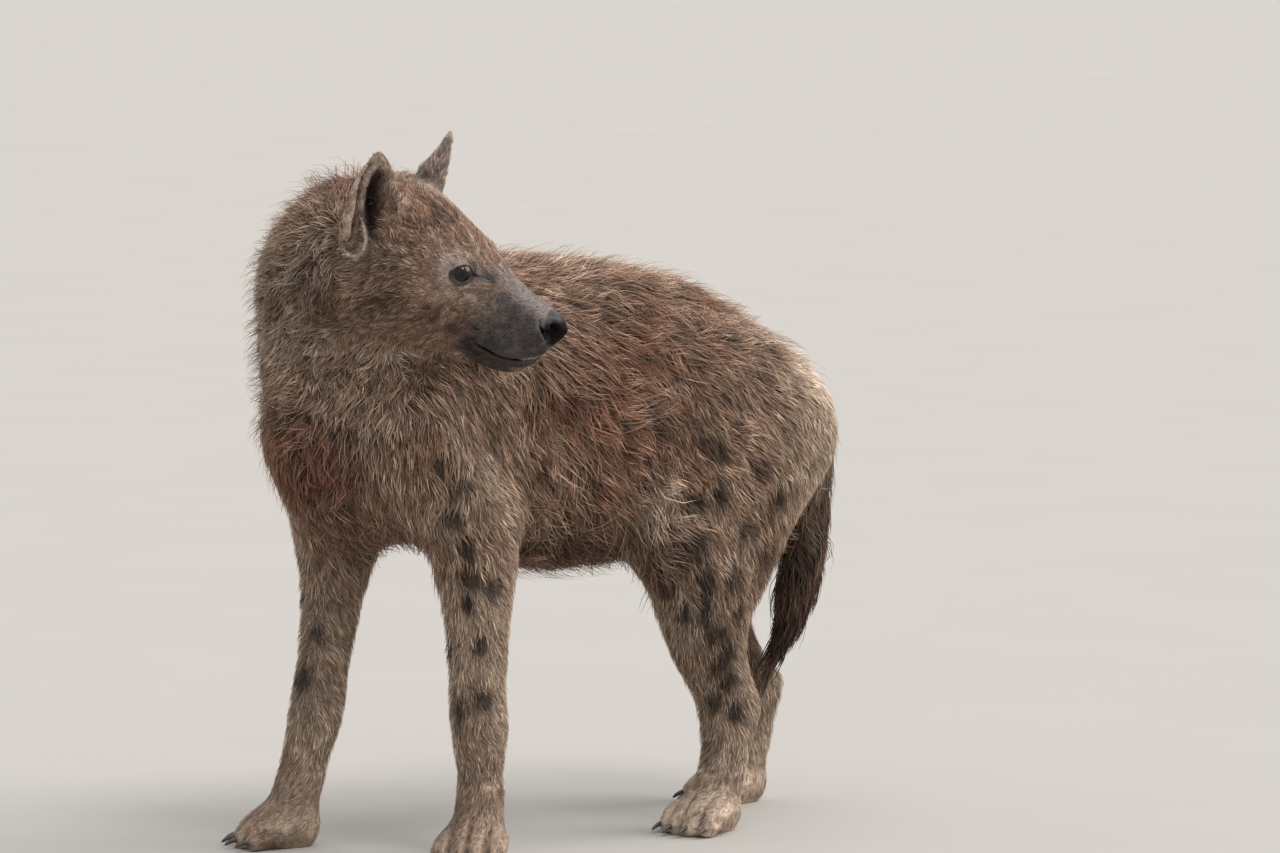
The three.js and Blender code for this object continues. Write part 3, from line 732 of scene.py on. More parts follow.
# %% [markdown]
# ## Ears
# The shell of an ear is thin. If only its front were pushed in, it would come out at the back, so the
# push is measured with the depth left out, and both faces move together: the middle sinks into a deep
# cup, down to the ear hole. The outer rim is doubled. It runs down beside the hole, turns round a small
# lobe and comes back up, which leaves the pocket that dogs and cats have too.

# %% Cup and pocket of the ears
HOLLOW_PIXELS = [(381, 165), (377, 178), (372, 190), (369, 202), (369, 214), (371, 226), (374, 237)]
BAND_PIXELS = [
    (370, 165), (362, 176), (358, 188), (356, 200), (353, 212), (351, 224), (351, 238), (355, 248),
]
LOOP_PIXELS = [
    (374, 167), (367, 179), (363, 190), (361, 200), (361, 210), (364, 221), (366, 230), (367, 240),
    (364, 251), (357, 258), (350, 254), (345, 245), (344, 233), (346, 220), (350, 209), (353, 198),
    (355, 187), (359, 176), (366, 167),
]
FRONT_RIM_PIXELS = [(397, 192), (394, 180), (391, 168), (387, 157)]
INTO_EAR = np.array([-0.53, -0.8, 0.28])
HOLLOW_AT_TOP, HOLLOW_AT_HOLE, HOLLOW_WIDTH = 6.0, 9.0, 7.0
RIM_HEIGHT, POCKET_HEIGHT, RIM_WIDTH = 2.6, 4.4, 2.9
BAND_DEPTH, BAND_WIDTH = 2.6, 3.6
LOBE_HEIGHT, LOBE_WIDTH = 5.5, 8.0
FAR_EAR_SLIMMING = 7.0
into_ear = INTO_EAR / np.linalg.norm(INTO_EAR)
right_middle, left_middle = (in_head_mm(middle_of(ear)[None])[0] for ear in ("right_ear", "left_ear"))
ear_shift = (left_middle - right_middle * [1, -1, 1])[None] * (side > 0)[:, None]
ear_half = half - ear_shift
near_ear = smooth_step(0.05, 0.3, part["ear"] + 0.8 * part["head"] + 0.5 * part["neck"])
hollow_path, band_path, loop_path, front_rim_path = (
    traced(pixels) for pixels in (HOLLOW_PIXELS, BAND_PIXELS, LOOP_PIXELS, FRONT_RIM_PIXELS)
)


def without_depth(points):
    return points - np.outer(points @ into_ear, into_ear)


hollow_gap, hollow_along = gap_to_path(without_depth(ear_half), without_depth(hollow_path))
path_steps = np.linspace(0, 1, len(hollow_path))
behind = ear_half @ into_ear - np.interp(hollow_along, path_steps, hollow_path @ into_ear)
band_gap, band_along = gap_to_path(ear_half, band_path)
loop_gap, loop_along = gap_to_path(ear_half, loop_path)
front_rim_gap, _ = gap_to_path(ear_half, front_rim_path)
normals = head_normals()
in_cup = smooth_step(0.3, -0.1, normals @ into_ear) * near_ear
ends = smooth_step(0, 0.25, hollow_along) * smooth_step(1, 0.8, hollow_along)
shell = smooth_step(30, 16, np.abs(behind))
sink = (HOLLOW_AT_TOP + HOLLOW_AT_HOLE * hollow_along) * bell(hollow_gap, HOLLOW_WIDTH)
sink = sink * ends * shell * near_ear
pocket_share = smooth_step(0.15, 0.35, loop_along) * smooth_step(0.88, 0.7, loop_along)
ridge = (RIM_HEIGHT + POCKET_HEIGHT * pocket_share) * bell(loop_gap, RIM_WIDTH) * near_ear
groove = BAND_DEPTH * bell(band_gap, BAND_WIDTH) * in_cup
lobe = LOBE_HEIGHT * bell(band_gap, LOBE_WIDTH) * smooth_step(0.42, 0.62, band_along) * near_ear
slim = FAR_EAR_SLIMMING * smooth_step(12, 38, ear_half[:, 0]) * part["ear"] * (side > 0)
half = half + into_ear * sink[:, None] + normals * (ridge - groove + lobe)[:, None]
half = half - slim[:, None] * [1, 0, 0]
store_half()
print("ears differ by", (left_middle - right_middle * [1, -1, 1]).round(1), "mm")

# %% [markdown]
# ## Eyes
# Each eyeball is a ball turned on a lathe round its line of sight, with the clear front standing out a
# little. The rings know their angle from the line of sight, and the material turns that angle into
# pupil, iris and white. The surface is wet, so it mirrors the sky a little.

# %% Eyeballs
EYE_RINGS, EYE_STEPS = 40, 64
IRIS_ANGLE = 0.74
CORNEA_RISE = 0.9
BEHIND_LIDS = 0.1


def tube_faces(rings, steps):
    faces = []
    for ring in range(rings - 1):
        low, high = ring * steps, (ring + 1) * steps
        for step in range(steps):
            after = (step + 1) % steps
            faces.append((low + step, low + after, high + after, high + step))
    return faces


def eyeball(name, sign):
    line = np.array([1, sign, 1]) * gaze
    aside = np.cross(line, [0, 0, 1.0])
    aside /= np.linalg.norm(aside)
    above = np.cross(aside, line)
    centre = EYE_IN_HEAD / MM * [1, sign, 1]
    turn = np.linspace(0, 2 * pi, EYE_STEPS, endpoint=False)
    spots, angles = [], []
    for ring in range(EYE_RINGS):
        angle = pi * (ring + 0.5) / EYE_RINGS
        reach = ball - BEHIND_LIDS + CORNEA_RISE * bell(angle, IRIS_ANGLE * 0.75)
        circle = np.outer(np.cos(turn), aside) + np.outer(np.sin(turn), above)
        spots += list(centre + reach * (cos(angle) * line + sin(angle) * circle))
        angles += [angle] * EYE_STEPS
    spots += [centre + (ball - BEHIND_LIDS + CORNEA_RISE) * line, centre - ball * line]
    angles += [0.0, pi]
    front, back = len(spots) - 2, len(spots) - 1
    faces = tube_faces(EYE_RINGS, EYE_STEPS)
    last = (EYE_RINGS - 1) * EYE_STEPS
    for step in range(EYE_STEPS):
        after = (step + 1) % EYE_STEPS
        faces.append((front, after, step))
        faces.append((back, last + step, last + after))
    form = bpy.data.meshes.new(name)
    form.from_pydata([tuple(p) for p in from_head(np.array(spots) * MM)], [], faces)
    store_field(form, "sight_angle", angles)
    shade_smooth(form)
    return object_of(name, form)


eyeballs = {"left_eye": eyeball("eyeball_left", 1), "right_eye": eyeball("eyeball_right", -1)}
print("eyeballs:", 2 * ball, "mm across")

# %% [markdown]
# ## Claws
# A hyena's claws are blunt, like a dog's, and always out. Each one is swept along a short arc from the
# place of its solid: round at the root, narrow and rounded at the end.

# %% Claws
CLAW_RINGS, CLAW_STEPS = 9, 14
CLAW_CURVE, CLAW_FLATNESS = 0.1, 0.8
CLAW_ABOVE_FLOOR = 0.3 * MM
CLAW_GIRTH, CLAW_TAPER, CLAW_END, CLAW_LENGTH = 1.15, 0.55, 0.5, 0.97


def claw(name):
    corners = coordinates(nodes[name].data)
    middle = corners.mean(0)
    tip = corners[np.argmax(np.linalg.norm(corners - middle, axis=1))]
    from_tip = np.linalg.norm(corners - tip, axis=1)
    base = corners[from_tip > 0.5 * from_tip.max()]
    root = base.mean(0)
    thick = np.linalg.norm(base - root, axis=1).mean()
    run = tip - root
    across = np.cross(run, [0, 0, 1.0])
    across /= np.linalg.norm(across)
    above = np.cross(across, run / np.linalg.norm(run))
    turn = np.linspace(0, 2 * pi, CLAW_STEPS, endpoint=False)
    spots = []
    ring_shape = np.outer(np.cos(turn) * CLAW_FLATNESS, across) + np.outer(np.sin(turn), above)
    for t in np.linspace(0, 1, CLAW_RINGS):
        girth = thick * CLAW_GIRTH * (1 - CLAW_TAPER * t) * (1 if t < 1 else CLAW_END)
        arch = above * np.linalg.norm(run) * CLAW_CURVE * 4 * t * (1 - t)
        spots += list(root + run * t * CLAW_LENGTH + arch + girth * ring_shape)
    faces = tube_faces(CLAW_RINGS, CLAW_STEPS)
    faces.append(tuple(reversed(range(CLAW_STEPS))))
    faces.append(tuple((CLAW_RINGS - 1) * CLAW_STEPS + step for step in range(CLAW_STEPS)))
    spots = np.array(spots)
    spots[:, 2] = np.maximum(spots[:, 2], CLAW_ABOVE_FLOOR)
    form = bpy.data.meshes.new(name)
    form.from_pydata([tuple(p) for p in spots], [], faces)
    shade_smooth(form)
    return object_of("horn_" + name, form)


claws = {name: claw(name) for name in CLAWS}
print(len(claws), "claws")

# %% [markdown]
# ## Toes
# The wrap has closed the gaps between the toes. A groove is pressed into the paw between each pair of
# claws: it starts in front, where the toes part, and fades out on the back of the foot.

# %% Grooves between the toes
GROOVE_LENGTH, GROOVE_DEPTH, GROOVE_WIDTH = 46.0, 6.0, 3.4
FRONT_OF_CLAWS, PAW_TOP = 30, 90
paw_points = coordinates(mesh) / MM
paw_normals = vectors_of(mesh, "normal")
pushed = np.zeros(len(paw_points))
for foot in ("left_fore", "right_fore", "left_hind", "right_hind"):
    roots, tips = [], []
    for name in [claw_name for claw_name in CLAWS if claw_name.startswith(foot)]:
        corner_places = coordinates(nodes[name].data) / MM
        roots.append(corner_places.mean(0))
        tips.append(corner_places[np.argmin(corner_places[:, 1])])
    roots, tips = np.array(roots), np.array(tips)
    pointing = (tips - roots).mean(0) * [1, 1, 0]
    pointing /= np.linalg.norm(pointing)
    across = np.array([-pointing[1], pointing[0], 0])
    order = np.argsort(roots @ across)
    for first, second in zip(order[:-1], order[1:]):
        arm = paw_points - (roots[first] + roots[second]) / 2
        run, aside = arm @ pointing, arm @ across
        fade = smooth_step(-GROOVE_LENGTH, -GROOVE_LENGTH * 0.35, run) * (run < FRONT_OF_CLAWS)
        fade = fade * (paw_points[:, 2] < PAW_TOP)
        pushed = np.maximum(pushed, GROOVE_DEPTH * bell(aside, GROOVE_WIDTH) * fade)
faces_front = smooth_step(-0.2, 0.4, paw_normals[:, 2] - paw_normals[:, 1])
pushed *= smooth_step(0.3, 0.7, part["paw"]) * faces_front
moved = paw_points - paw_normals * pushed[:, None]
moved[:, 2] = np.maximum(moved[:, 2], 0)
place_vertices(mesh, moved * MM)
print("toe grooves up to", round(float(pushed.max()), 1), "mm deep")

# %% [markdown]
# ## Where the hair lies
# Hair has a grain, like wood. A list of places with the way that the hair lies there is enough: each
# point of the skin mixes the ways of the places near it. Body places are forward, left and up in
# millimetres, and they count for both sides. The neck is turned, so its places count only where they
# are. The head has its own.

# %% Guides for the lay of the coat
BODY_LAY = [
    ((250, 0, 750), (-1, 0, 0)), ((0, 0, 745), (-1, 0, 0)), ((-250, 0, 730), (-1, 0, -0.3)),
    ((200, 110, 650), (-0.8, 0.1, -0.6)), ((0, 130, 620), (-0.75, 0.1, -0.65)),
    ((-200, 120, 620), (-0.7, 0.1, -0.7)), ((150, 150, 520), (-0.35, 0, -0.95)),
    ((0, 150, 500), (-0.55, 0, -0.85)), ((-150, 140, 480), (-0.6, 0, -0.8)),
    ((0, 120, 380), (-0.6, 0, -0.7)), ((0, 0, 310), (-1, 0, -0.1)), ((-90, 110, 400), (-0.8, 0, -0.6)),
    ((400, 0, 470), (-0.1, 0, -1)), ((380, 90, 430), (-0.1, -0.3, -1)), ((300, 0, 350), (-0.7, 0, -0.6)),
    ((-330, 0, 690), (-0.9, 0, -0.6)), ((-370, 80, 600), (-0.6, 0.1, -0.8)),
    ((-410, 60, 480), (-0.2, 0.1, -1)), ((-280, 150, 500), (-0.4, 0, -0.9)),
    ((-200, 150, 400), (-0.15, 0, -1)), ((-350, 120, 400), (-0.4, 0, -0.9)),
    ((250, 150, 530), (-0.1, 0, -1)), ((330, 130, 430), (-0.15, 0, -1)),
    ((180, 130, 400), (-0.5, 0, -0.85)), ((230, 110, 250), (-0.25, 0.1, -1)),
    ((160, 110, 250), (-0.6, 0.1, -0.8)), ((210, 120, 120), (-0.4, 0.1, -0.9)),
    ((-150, 100, 260), (-0.1, 0, -1)), ((-250, 110, 250), (-0.35, 0, -0.9)),
    ((-230, 110, 130), (-0.3, 0, -1)), ((220, 120, 50), (0.6, 0, -0.7)), ((260, 120, 25), (1, 0, -0.3)),
    ((-180, 110, 50), (0.5, 0, -0.8)), ((-140, 110, 25), (1, 0, -0.3)), ((-440, 0, 480), (-0.1, 0, -1)),
    ((-420, 0, 260), (0.05, 0, -1)),
]
NECK_LAY = [
    ((250, 70, 850), (-0.5, -0.5, 0.5)), ((320, 0, 840), (0.1, -0.9, 0.1)),
    ((200, 0, 800), (-0.9, -0.1, -0.2)), ((300, -120, 760), (-0.1, -0.3, -0.9)),
    ((420, -60, 740), (0.1, -0.6, -0.7)), ((430, 40, 720), (0.2, -0.6, -0.75)),
    ((410, 100, 690), (0.5, -0.7, -0.6)), ((430, 20, 600), (0.0, -0.35, -0.95)),
    ((380, 120, 600), (0.15, -0.5, -0.9)), ((320, 150, 570), (-0.1, 0, -1)),
    ((200, 90, 760), (-0.9, 0.2, -0.4)), ((250, -130, 620), (-0.4, -0.1, -0.9)),
]
HEAD_LAY = [
    ((225, 0, -20), (-1, 0, 0.3)), ((190, 12, 0), (-1, 0.15, 0.25)), ((200, 42, -55), (-1, 0.1, -0.05)),
    ((150, 50, -40), (-0.95, 0.15, -0.2)), ((118, 0, 42), (-0.7, 0, 0.7)),
    ((60, 15, 68), (-0.9, 0.1, 0.35)), ((140, 30, 18), (-0.7, 0.3, 0.6)),
    ((116, 46, 27), (-0.5, 0.4, 0.75)), ((85, 60, 20), (-0.9, 0.25, 0.2)),
    ((100, 62, 0), (-0.95, 0.25, 0)), ((120, 55, -18), (-0.8, 0.3, -0.45)),
    ((60, 85, -30), (-0.8, 0.25, -0.5)), ((120, 48, -75), (-0.85, 0.1, -0.4)),
    ((205, 0, -100), (-0.95, 0, -0.2)), ((70, 30, -100), (-0.7, 0.1, -0.65)),
    ((20, 60, 55), (-0.6, 0.3, 0.4)), ((-20, 60, 0), (-0.9, 0.1, -0.35)),
    ((-10, 10, 75), (-0.8, 0, 0.5)),
]
BODY_REACH, NECK_REACH, HEAD_REACH = 85.0, 70.0, 26.0


def in_body_mm(points):
    return np.stack([-points[:, 1], points[:, 0] - MIDLINE, points[:, 2]], 1) / MM


skin_points = coordinates(mesh)
body_mm = in_body_mm(skin_points)
local = in_head_mm(skin_points)
half = local * UPRIGHT_HALF
body_side = np.where(body_mm[:, 1] < 0, -1.0, 1.0)


def mixed_lay(points, guides, reach):
    places = np.array([place for place, _ in guides], dtype=float)
    ways = np.array([way for _, way in guides], dtype=float)
    gap = np.linalg.norm(points[:, None, :] - places[None], axis=2)
    least = gap.min(1, keepdims=True)
    closeness = np.exp(-((gap - least) / reach) * (gap + least) / reach)
    return closeness @ ways / closeness.sum(1, keepdims=True)


mirrored = np.stack([body_mm[:, 0], np.abs(body_mm[:, 1]), body_mm[:, 2]], 1)
body_lay = mixed_lay(mirrored, BODY_LAY, BODY_REACH)
body_lay[:, 1] *= body_side
neck_lay = mixed_lay(body_mm, NECK_LAY, NECK_REACH)
body_lay = body_lay * (1 - part["neck"])[:, None] + neck_lay * part["neck"][:, None]
body_lay = np.stack([body_lay[:, 1], -body_lay[:, 0], body_lay[:, 2]], 1)
head_lay = (mixed_lay(half, HEAD_LAY, HEAD_REACH) * UPRIGHT_HALF) @ head_axes.T
lay = body_lay * (1 - part["head"])[:, None] + head_lay * part["head"][:, None]
for sign in (1, -1):
    this_ear = part["ear"] * (np.sign(local[:, 1]) == sign)
    tipwards = from_head([0, sign * 0.01, 0.03]) - from_head([0, 0, 0])
    lay = lay * (1 - this_ear)[:, None] + (tipwards / np.linalg.norm(tipwards)) * this_ear[:, None]
print("lay mixed from", len(BODY_LAY) + len(NECK_LAY) + len(HEAD_LAY), "guides")

# %% [markdown]
# ## Patchiness
# No two places on a coat are quite the same. A sum of a few waves in random directions gives soft
# patches of any size, without a picture. The same waves bend the lay of the hair, so that it swirls a
# little.

# %% Waves
WAVES = 7
WAVE_SUM = 2.0


def patches(points_mm, size_mm, seed):
    dice = np.random.default_rng(seed)
    total = np.zeros(len(points_mm))
    for _ in range(WAVES):
        way = dice.normal(size=3)
        way *= 2 * pi / size_mm * dice.uniform(0.6, 1.5) / np.linalg.norm(way)
        total += np.sin(points_mm @ way + dice.uniform(0, 2 * pi))
    return total / WAVE_SUM


swirl = np.stack([patches(body_mm, 95, seed) for seed in (3, 4, 5)], 1)
fine_swirl = np.stack([patches(body_mm, 34, seed) for seed in (6, 7, 8)], 1)
# How strongly the broad and the fine swirls bend the lay of each part.
RESTLESS = {
    "head": (0.05, 0.16), "ear": (0.0, 0.1), "neck": (0.3, 0.62), "trunk": (0.26, 0.3),
    "tail": (0.04, 0.1), "shoulder": (0.1, 0.14), "forearm": (0.1, 0.1), "thigh": (0.16, 0.18),
    "shank": (0.08, 0.1), "paw": (0.05, 0.1),
}
MESSY_FLANK = 0.3


def by_part(table, column):
    return sum(part[group] * table[group][column] for group in GROUP_NAMES)


broad = by_part(RESTLESS, 0)
flank = part["trunk"] * smooth_step(640, 480, body_mm[:, 2]) * smooth_step(0, 80, np.abs(body_mm[:, 1]))
narrow = by_part(RESTLESS, 1) + MESSY_FLANK * flank
lay = lay + swirl * broad[:, None] + fine_swirl * narrow[:, None]
print("swirls up to", round(float(np.abs(swirl).max() * broad.max()), 2))

# %% [markdown]
# ## Length, width and stance of the hair
# Every part has its own hair: long and messy on the back, nearly upright on the crest of the neck,
# straight on the shoulder, short on the legs, and hardly anything on the muzzle. These are the values
# for each part, with a few corrections inside the part.

# %% Hair of each part
# Length and width in mm, lift as a share of the coat's depth, and curl as a share of the length.
HAIR = {
    "head": (9.5, 0.88, 0.9, 0.10),
    "ear": (8, 0.8, 1.5, 0.10),
    "neck": (27, 1.45, 0.95, 0.30),
    "trunk": (46, 1.6, 0.95, 0.14),
    "tail": (92, 1.6, 1.5, 0.07),
    "shoulder": (34, 1.6, 0.9, 0.10),
    "forearm": (17, 1.25, 0.95, 0.10),
    "thigh": (30, 1.5, 0.9, 0.12),
    "shank": (18, 1.25, 0.95, 0.10),
    "paw": (9, 1.05, 0.9, 0.10),
}
CREST_LONGER, BELLY_LONGER, NAPE_LONGER = 22, 26, 9
FACE_SHORTER, MUZZLE_SHORTER, SHORTEST = 3.9, 2.4, 2.5
CLEAR_OF_LOBE = 0.55
length, width, lift, curl = (by_part(HAIR, column) for column in range(4))
muzzle = part["head"] * smooth_step(140, 185, local[:, 0])
grey_muzzle = part["head"] * smooth_step(
    122, 190, local[:, 0] + 0.32 * (-18 - local[:, 2]) + 4 * patches(local, 18, 31)
)
face = part["head"] * smooth_step(60, 115, local[:, 0])
crest = part["neck"] * smooth_step(780, 830, body_mm[:, 2])
belly = part["trunk"] * smooth_step(400, 320, body_mm[:, 2])
nape = NAPE_LONGER * part["head"] * smooth_step(30, -10, local[:, 0])
length += CREST_LONGER * crest + BELLY_LONGER * belly - FACE_SHORTER * face - MUZZLE_SHORTER * muzzle + nape
width += -0.3 * muzzle + 0.2 * crest
lift += 0.45 * crest + 1.2 * belly
length *= 1 - CLEAR_OF_LOBE * bell(loop_gap, 9) * near_ear
lift *= 1 - CLEAR_OF_LOBE * bell(loop_gap, 13) * near_ear
length = np.maximum(length, SHORTEST)
print("hair", round(float(length.min()), 1), "to", round(float(length.max()), 1), "mm long")

# %% [markdown]
# ## Markings
# The skin and the coat share one set of markings, stored as numbers from 0 to 1 at each point of the
# skin: how rusty, how pale, how dark, how spotted, and how much of the cool grey of the muzzle. Tufts
# take over the numbers of the place where they grow. Some of the numbers paint light and shade: a paler
# far ear and edge of the rump, a sheen on the muzzle, a glint on the upper lip, and shade in the ears,
# the nostrils, the mouth, under the cheekbone and in the crease of the chest.

# %% Fields of the markings
forward, left, up = body_mm.T
nosewards_mm, aside_mm, crown_mm = half.T
blotch = patches(body_mm, 120, 11) * 0.5
mottle = patches(body_mm, 42, 12) * 0.5
speckle = patches(body_mm, 16, 13) * 0.5
streak = patches(local * [0.6, 1, 1], 9, 33) * part["head"] * (1 - grey_muzzle)
print("patches of 120, 42 and 16 mm, and streaks of 9 mm on the face")

# %% Where the coat is rusty
crown = part["head"] * smooth_step(35, 60, crown_mm) * smooth_step(135, 90, nosewards_mm)
bridge = part["head"] * smooth_step(26, 12, aside_mm) * smooth_step(15, 35, crown_mm)
bridge = bridge * smooth_step(165, 130, nosewards_mm)
rust = (
    0.75 * crown + 0.6 * bridge + 0.3 * part["head"] + 0.45 * part["shoulder"]
    + part["neck"] * (0.95 * smooth_step(690, 600, up) + 0.85 * smooth_step(770, 830, up) + 0.15)
    + part["trunk"] * (0.5 + 0.4 * smooth_step(300, 400, forward)) + 0.35 * part["thigh"]
    + 0.6 * part["tail"] + 0.4 * part["forearm"] * smooth_step(180, 330, up) + 0.12 * part["shank"]
)
rust = rust * (1 + 0.8 * mottle + 0.5 * blotch) * (1 - 0.9 * muzzle)
print("rust mean", round(float(rust.mean()), 2))

# %% Where the coat is pale
BROW_PATH = [(104, 55, 12), (110, 53, 24), (122, 48, 31), (134, 42, 29), (142, 37, 21)]
CHEEK_PATH = [(105, 63, -18), (128, 53, -26), (140, 46, -22)]
back_light = part["trunk"] * smooth_step(560, 700, up)
# The edge of the rump is pale hair, made paler still as painted rim light.
pale_and_lit_rump_edge = (part["trunk"] + part["thigh"]) * smooth_step(-280, -370, forward) * smooth_step(330, 450, up)
thigh_rear = part["thigh"] * smooth_step(-290, -350, forward)
groin = (part["trunk"] + part["thigh"]) * bell(np.hypot(forward + 70, up - 415), 50)
muzzle_ridge = smooth_step(-50, -15, crown_mm + 0.62 * (nosewards_mm - 180))
# Painted sheen: the top of the muzzle is lightened with the ash dye where it catches the sky.
painted_muzzle_sheen = muzzle * smooth_step(30, 12, aside_mm) * muzzle_ridge
brow_gap, _ = gap_to_path(half, BROW_PATH)
cheek_gap, _ = gap_to_path(half, CHEEK_PATH)
# Painted light: the far ear is made paler than the near one, as it is lit.
painted_light_far_ear = part["ear"] * (side > 0)
pale = (
    0.25 * back_light + 1.2 * pale_and_lit_rump_edge + 0.9 * thigh_rear + 0.5 * groin + 0.4 * part["neck"]
    + 0.5 * crest * smooth_step(-20, -90, left) + 0.6 * part["forearm"] + 0.24 * part["thigh"]
    + part["shank"] * (0.33 + 0.32 * smooth_step(230, 120, up)) + 0.42 * part["shoulder"]
    + part["paw"] * (0.42 + 0.45 * (forward < 0)) + 0.5 * part["ear"] + 0.35 * painted_light_far_ear
    + part["head"] * (0.9 * bell(brow_gap, 8) + 0.35 * bell(cheek_gap, 9) + 0.14)
)
pale = pale * (1 + 0.5 * blotch + 0.4 * mottle) * (1 - 0.9 * muzzle)
print("pale mean", round(float(pale.mean()), 2))

# %% Inside the ears: dark hair, and painted shade in the cup and the ear hole
in_band = bell(band_gap, 4.5) * in_cup * (1 - bell(loop_gap, 2.6))
# Painted shade: the cup is darkened partly for its dark hair and partly for the shade in it, and the ear
# hole is painted near black.
dark_and_shaded_cup = in_cup * bell(hollow_gap, 11) * smooth_step(0.02, 0.2, hollow_along) * shell
dark_and_shaded_cup = dark_and_shaded_cup * (1 - bell(loop_gap, 3.0))
painted_ear_hole_shade = dark_and_shaded_cup * bell(hollow_gap, 8) * smooth_step(0.3, 0.5, hollow_along)
painted_ear_hole_shade = painted_ear_hole_shade * smooth_step(1.0, 0.85, hollow_along)
ear_edges = np.maximum(bell(loop_gap, 3.2), bell(front_rim_gap, 5)) * near_ear
pale = pale * (1 - 0.85 * dark_and_shaded_cup) * (1 - 0.5 * in_band) + ear_edges
rust = rust * (1 - 0.5 * dark_and_shaded_cup)
print("dark points in the ears:", int((painted_ear_hole_shade > 0.5).sum()))

# %% Where the coat is dark, and the throat
MOUTH_CORNER_PATH = [(134, 50, -70), (150, 50, -74), (172, 49, -80)]
# The tail's pale rim starts this far to the right in the picture, and further right higher up.
TAIL_EDGE_AT, TAIL_EDGE_SLANT = 240, 0.242
LEFT_TO_RIGHT, FORWARD_TO_RIGHT = 0.602, 0.799
lower_flank = part["trunk"] * smooth_step(560, 380, up) * smooth_step(330, 250, forward)
throat = part["head"] * smooth_step(-88, -100, crown_mm) + part["neck"] * bell(up - 640, 30) * 0.3
rightwards_mm = LEFT_TO_RIGHT * left - FORWARD_TO_RIGHT * forward
past_edge = rightwards_mm - TAIL_EDGE_AT - TAIL_EDGE_SLANT * up
tail_edge = part["tail"] * smooth_step(0, 14, past_edge) * (up < 470)
tail_streak = np.maximum(patches(body_mm * [1, 1, 0.12], 13, 37), 0)
tail_dark = 0.9 * part["tail"] * smooth_step(545, 480, up)
tail_dark = tail_dark * (1 - 0.5 * tail_edge * np.minimum(tail_streak + 0.3, 1))
dark = (
    tail_dark + 0.2 * lower_flank + 0.1 * part["neck"] + 0.22 * crown
    + 0.2 * part["trunk"] * smooth_step(250, 350, forward) + 0.08 * bridge + 0.1 * part["head"]
    + 0.04 * part["thigh"] + 0.08 * part["shank"] * smooth_step(150, 260, up)
    + 0.2 * part["paw"] * smooth_step(20, 60, up) + dark_and_shaded_cup + 0.6 * in_band
    + 0.1 * part["ear"] * (1 - in_cup)
)
mouth_corner_gap, _ = gap_to_path(half, MOUTH_CORNER_PATH)
mouth_dark = part["head"] * bell(mouth_corner_gap, 12)
dark = dark * (1 + 0.6 * mottle + 0.4 * blotch) + 0.35 * mouth_dark + 0.2 * np.maximum(-streak, 0)
pale = pale + 0.45 * throat + 0.14 * np.maximum(streak, 0)
rust = rust + 0.4 * throat
print("rust, pale and dark means:", [round(float(f.mean()), 2) for f in (rust, pale, dark)])

# %% [markdown]
# ## Spots
# The spots sit where they are in the photograph, again along lines of sight from the camera. The far
# side isn't seen, so it gets the same spots mirrored and moved a little, each one carried over to the
# matching height of its leg.

# %% Spots on the near side and their mirrored twins
SPOT_PIXELS = {
    "left_fore": [
        (454, 490), (470, 549), (470, 579), (493, 588), (469, 605), (481, 648), (484, 703), (440, 470),
        (452, 520),
    ],
    "right_fore": [(303, 682), (288, 700), (318, 640)],
    "chest": [(350, 437), (300, 428)],
    "left_hind": [
        (695, 506), (745, 530), (697, 551), (704, 581), (732, 582), (665, 590), (706, 601), (684, 617),
        (737, 613), (715, 635), (728, 654), (717, 668), (726, 684), (715, 703), (736, 714), (718, 500),
        (670, 550), (705, 620), (680, 560), (760, 560),
    ],
    "flank": [
        (693, 341), (747, 533), (696, 552), (760, 470), (720, 455), (650, 480), (735, 400), (775, 500),
    ],
}
SPOT_RADIUS, SPOT_RIM, SPOT_CORE = 10.5, 1.35, 0.7
SPOT_SIZES, SPOT_STRENGTHS = (0.8, 1.25), (0.85, 1.0)
TWIN_SHIFT = 9
skin_tree = tree_of_skin()


def seen_through(pixel):
    met = skin_tree.ray_cast(camera.location, Vector(sight_through(pixel)), 2 * CAMERA_DISTANCE)[0]
    return None if met is None else in_body_mm(np.array(met)[None])[0]


def limb_middle(sign, height, near_forward):
    ring = (np.abs(up - height) < 14) & (np.sign(left) == sign) & (np.abs(forward - near_forward) < 170)
    return body_mm[ring].mean(0) if ring.any() else None


spot_places = []
for pixels in SPOT_PIXELS.values():
    for pixel in pixels:
        place = seen_through(pixel)
        if place is None:
            continue
        spot_places.append(place)
        sign = 1.0 if place[1] >= 0 else -1.0
        here = limb_middle(sign, place[2], place[0])
        there = limb_middle(-sign, place[2], place[0])
        if place[2] < 400 and here is not None and there is not None:
            offset = (place - here) * [1, -1, 1]
            twin = there + offset
        else:
            twin = place * [1, -1, 1]
        spot_places.append(twin + rng.normal(0, TWIN_SHIFT, 3))
lay_in_body = np.stack([-lay[:, 1], lay[:, 0], lay[:, 2]], 1)
spot_list = []
for place in spot_places:
    nearest = np.argmin(np.linalg.norm(body_mm - place, axis=1))
    back_to_root = lay_in_body[nearest] / np.linalg.norm(lay_in_body[nearest]) * length[nearest] * 0.5
    size = SPOT_RADIUS * rng.uniform(*SPOT_SIZES)
    spot_list.append((place - back_to_root, size, rng.uniform(*SPOT_STRENGTHS)))


def spots_at(places_mm):
    total = np.zeros(len(places_mm))
    ragged = 1.6 * patches(places_mm, 15, 13)
    for place, size, strength in spot_list:
        shape = np.linalg.norm((places_mm - place) / [1.0, 1.0, 1.25], axis=1) + ragged
        total = np.maximum(total, smooth_step(size * SPOT_RIM, size * SPOT_CORE, shape) * strength)
    return total


spot = spots_at(body_mm)
print(len(spot_places), "spots")
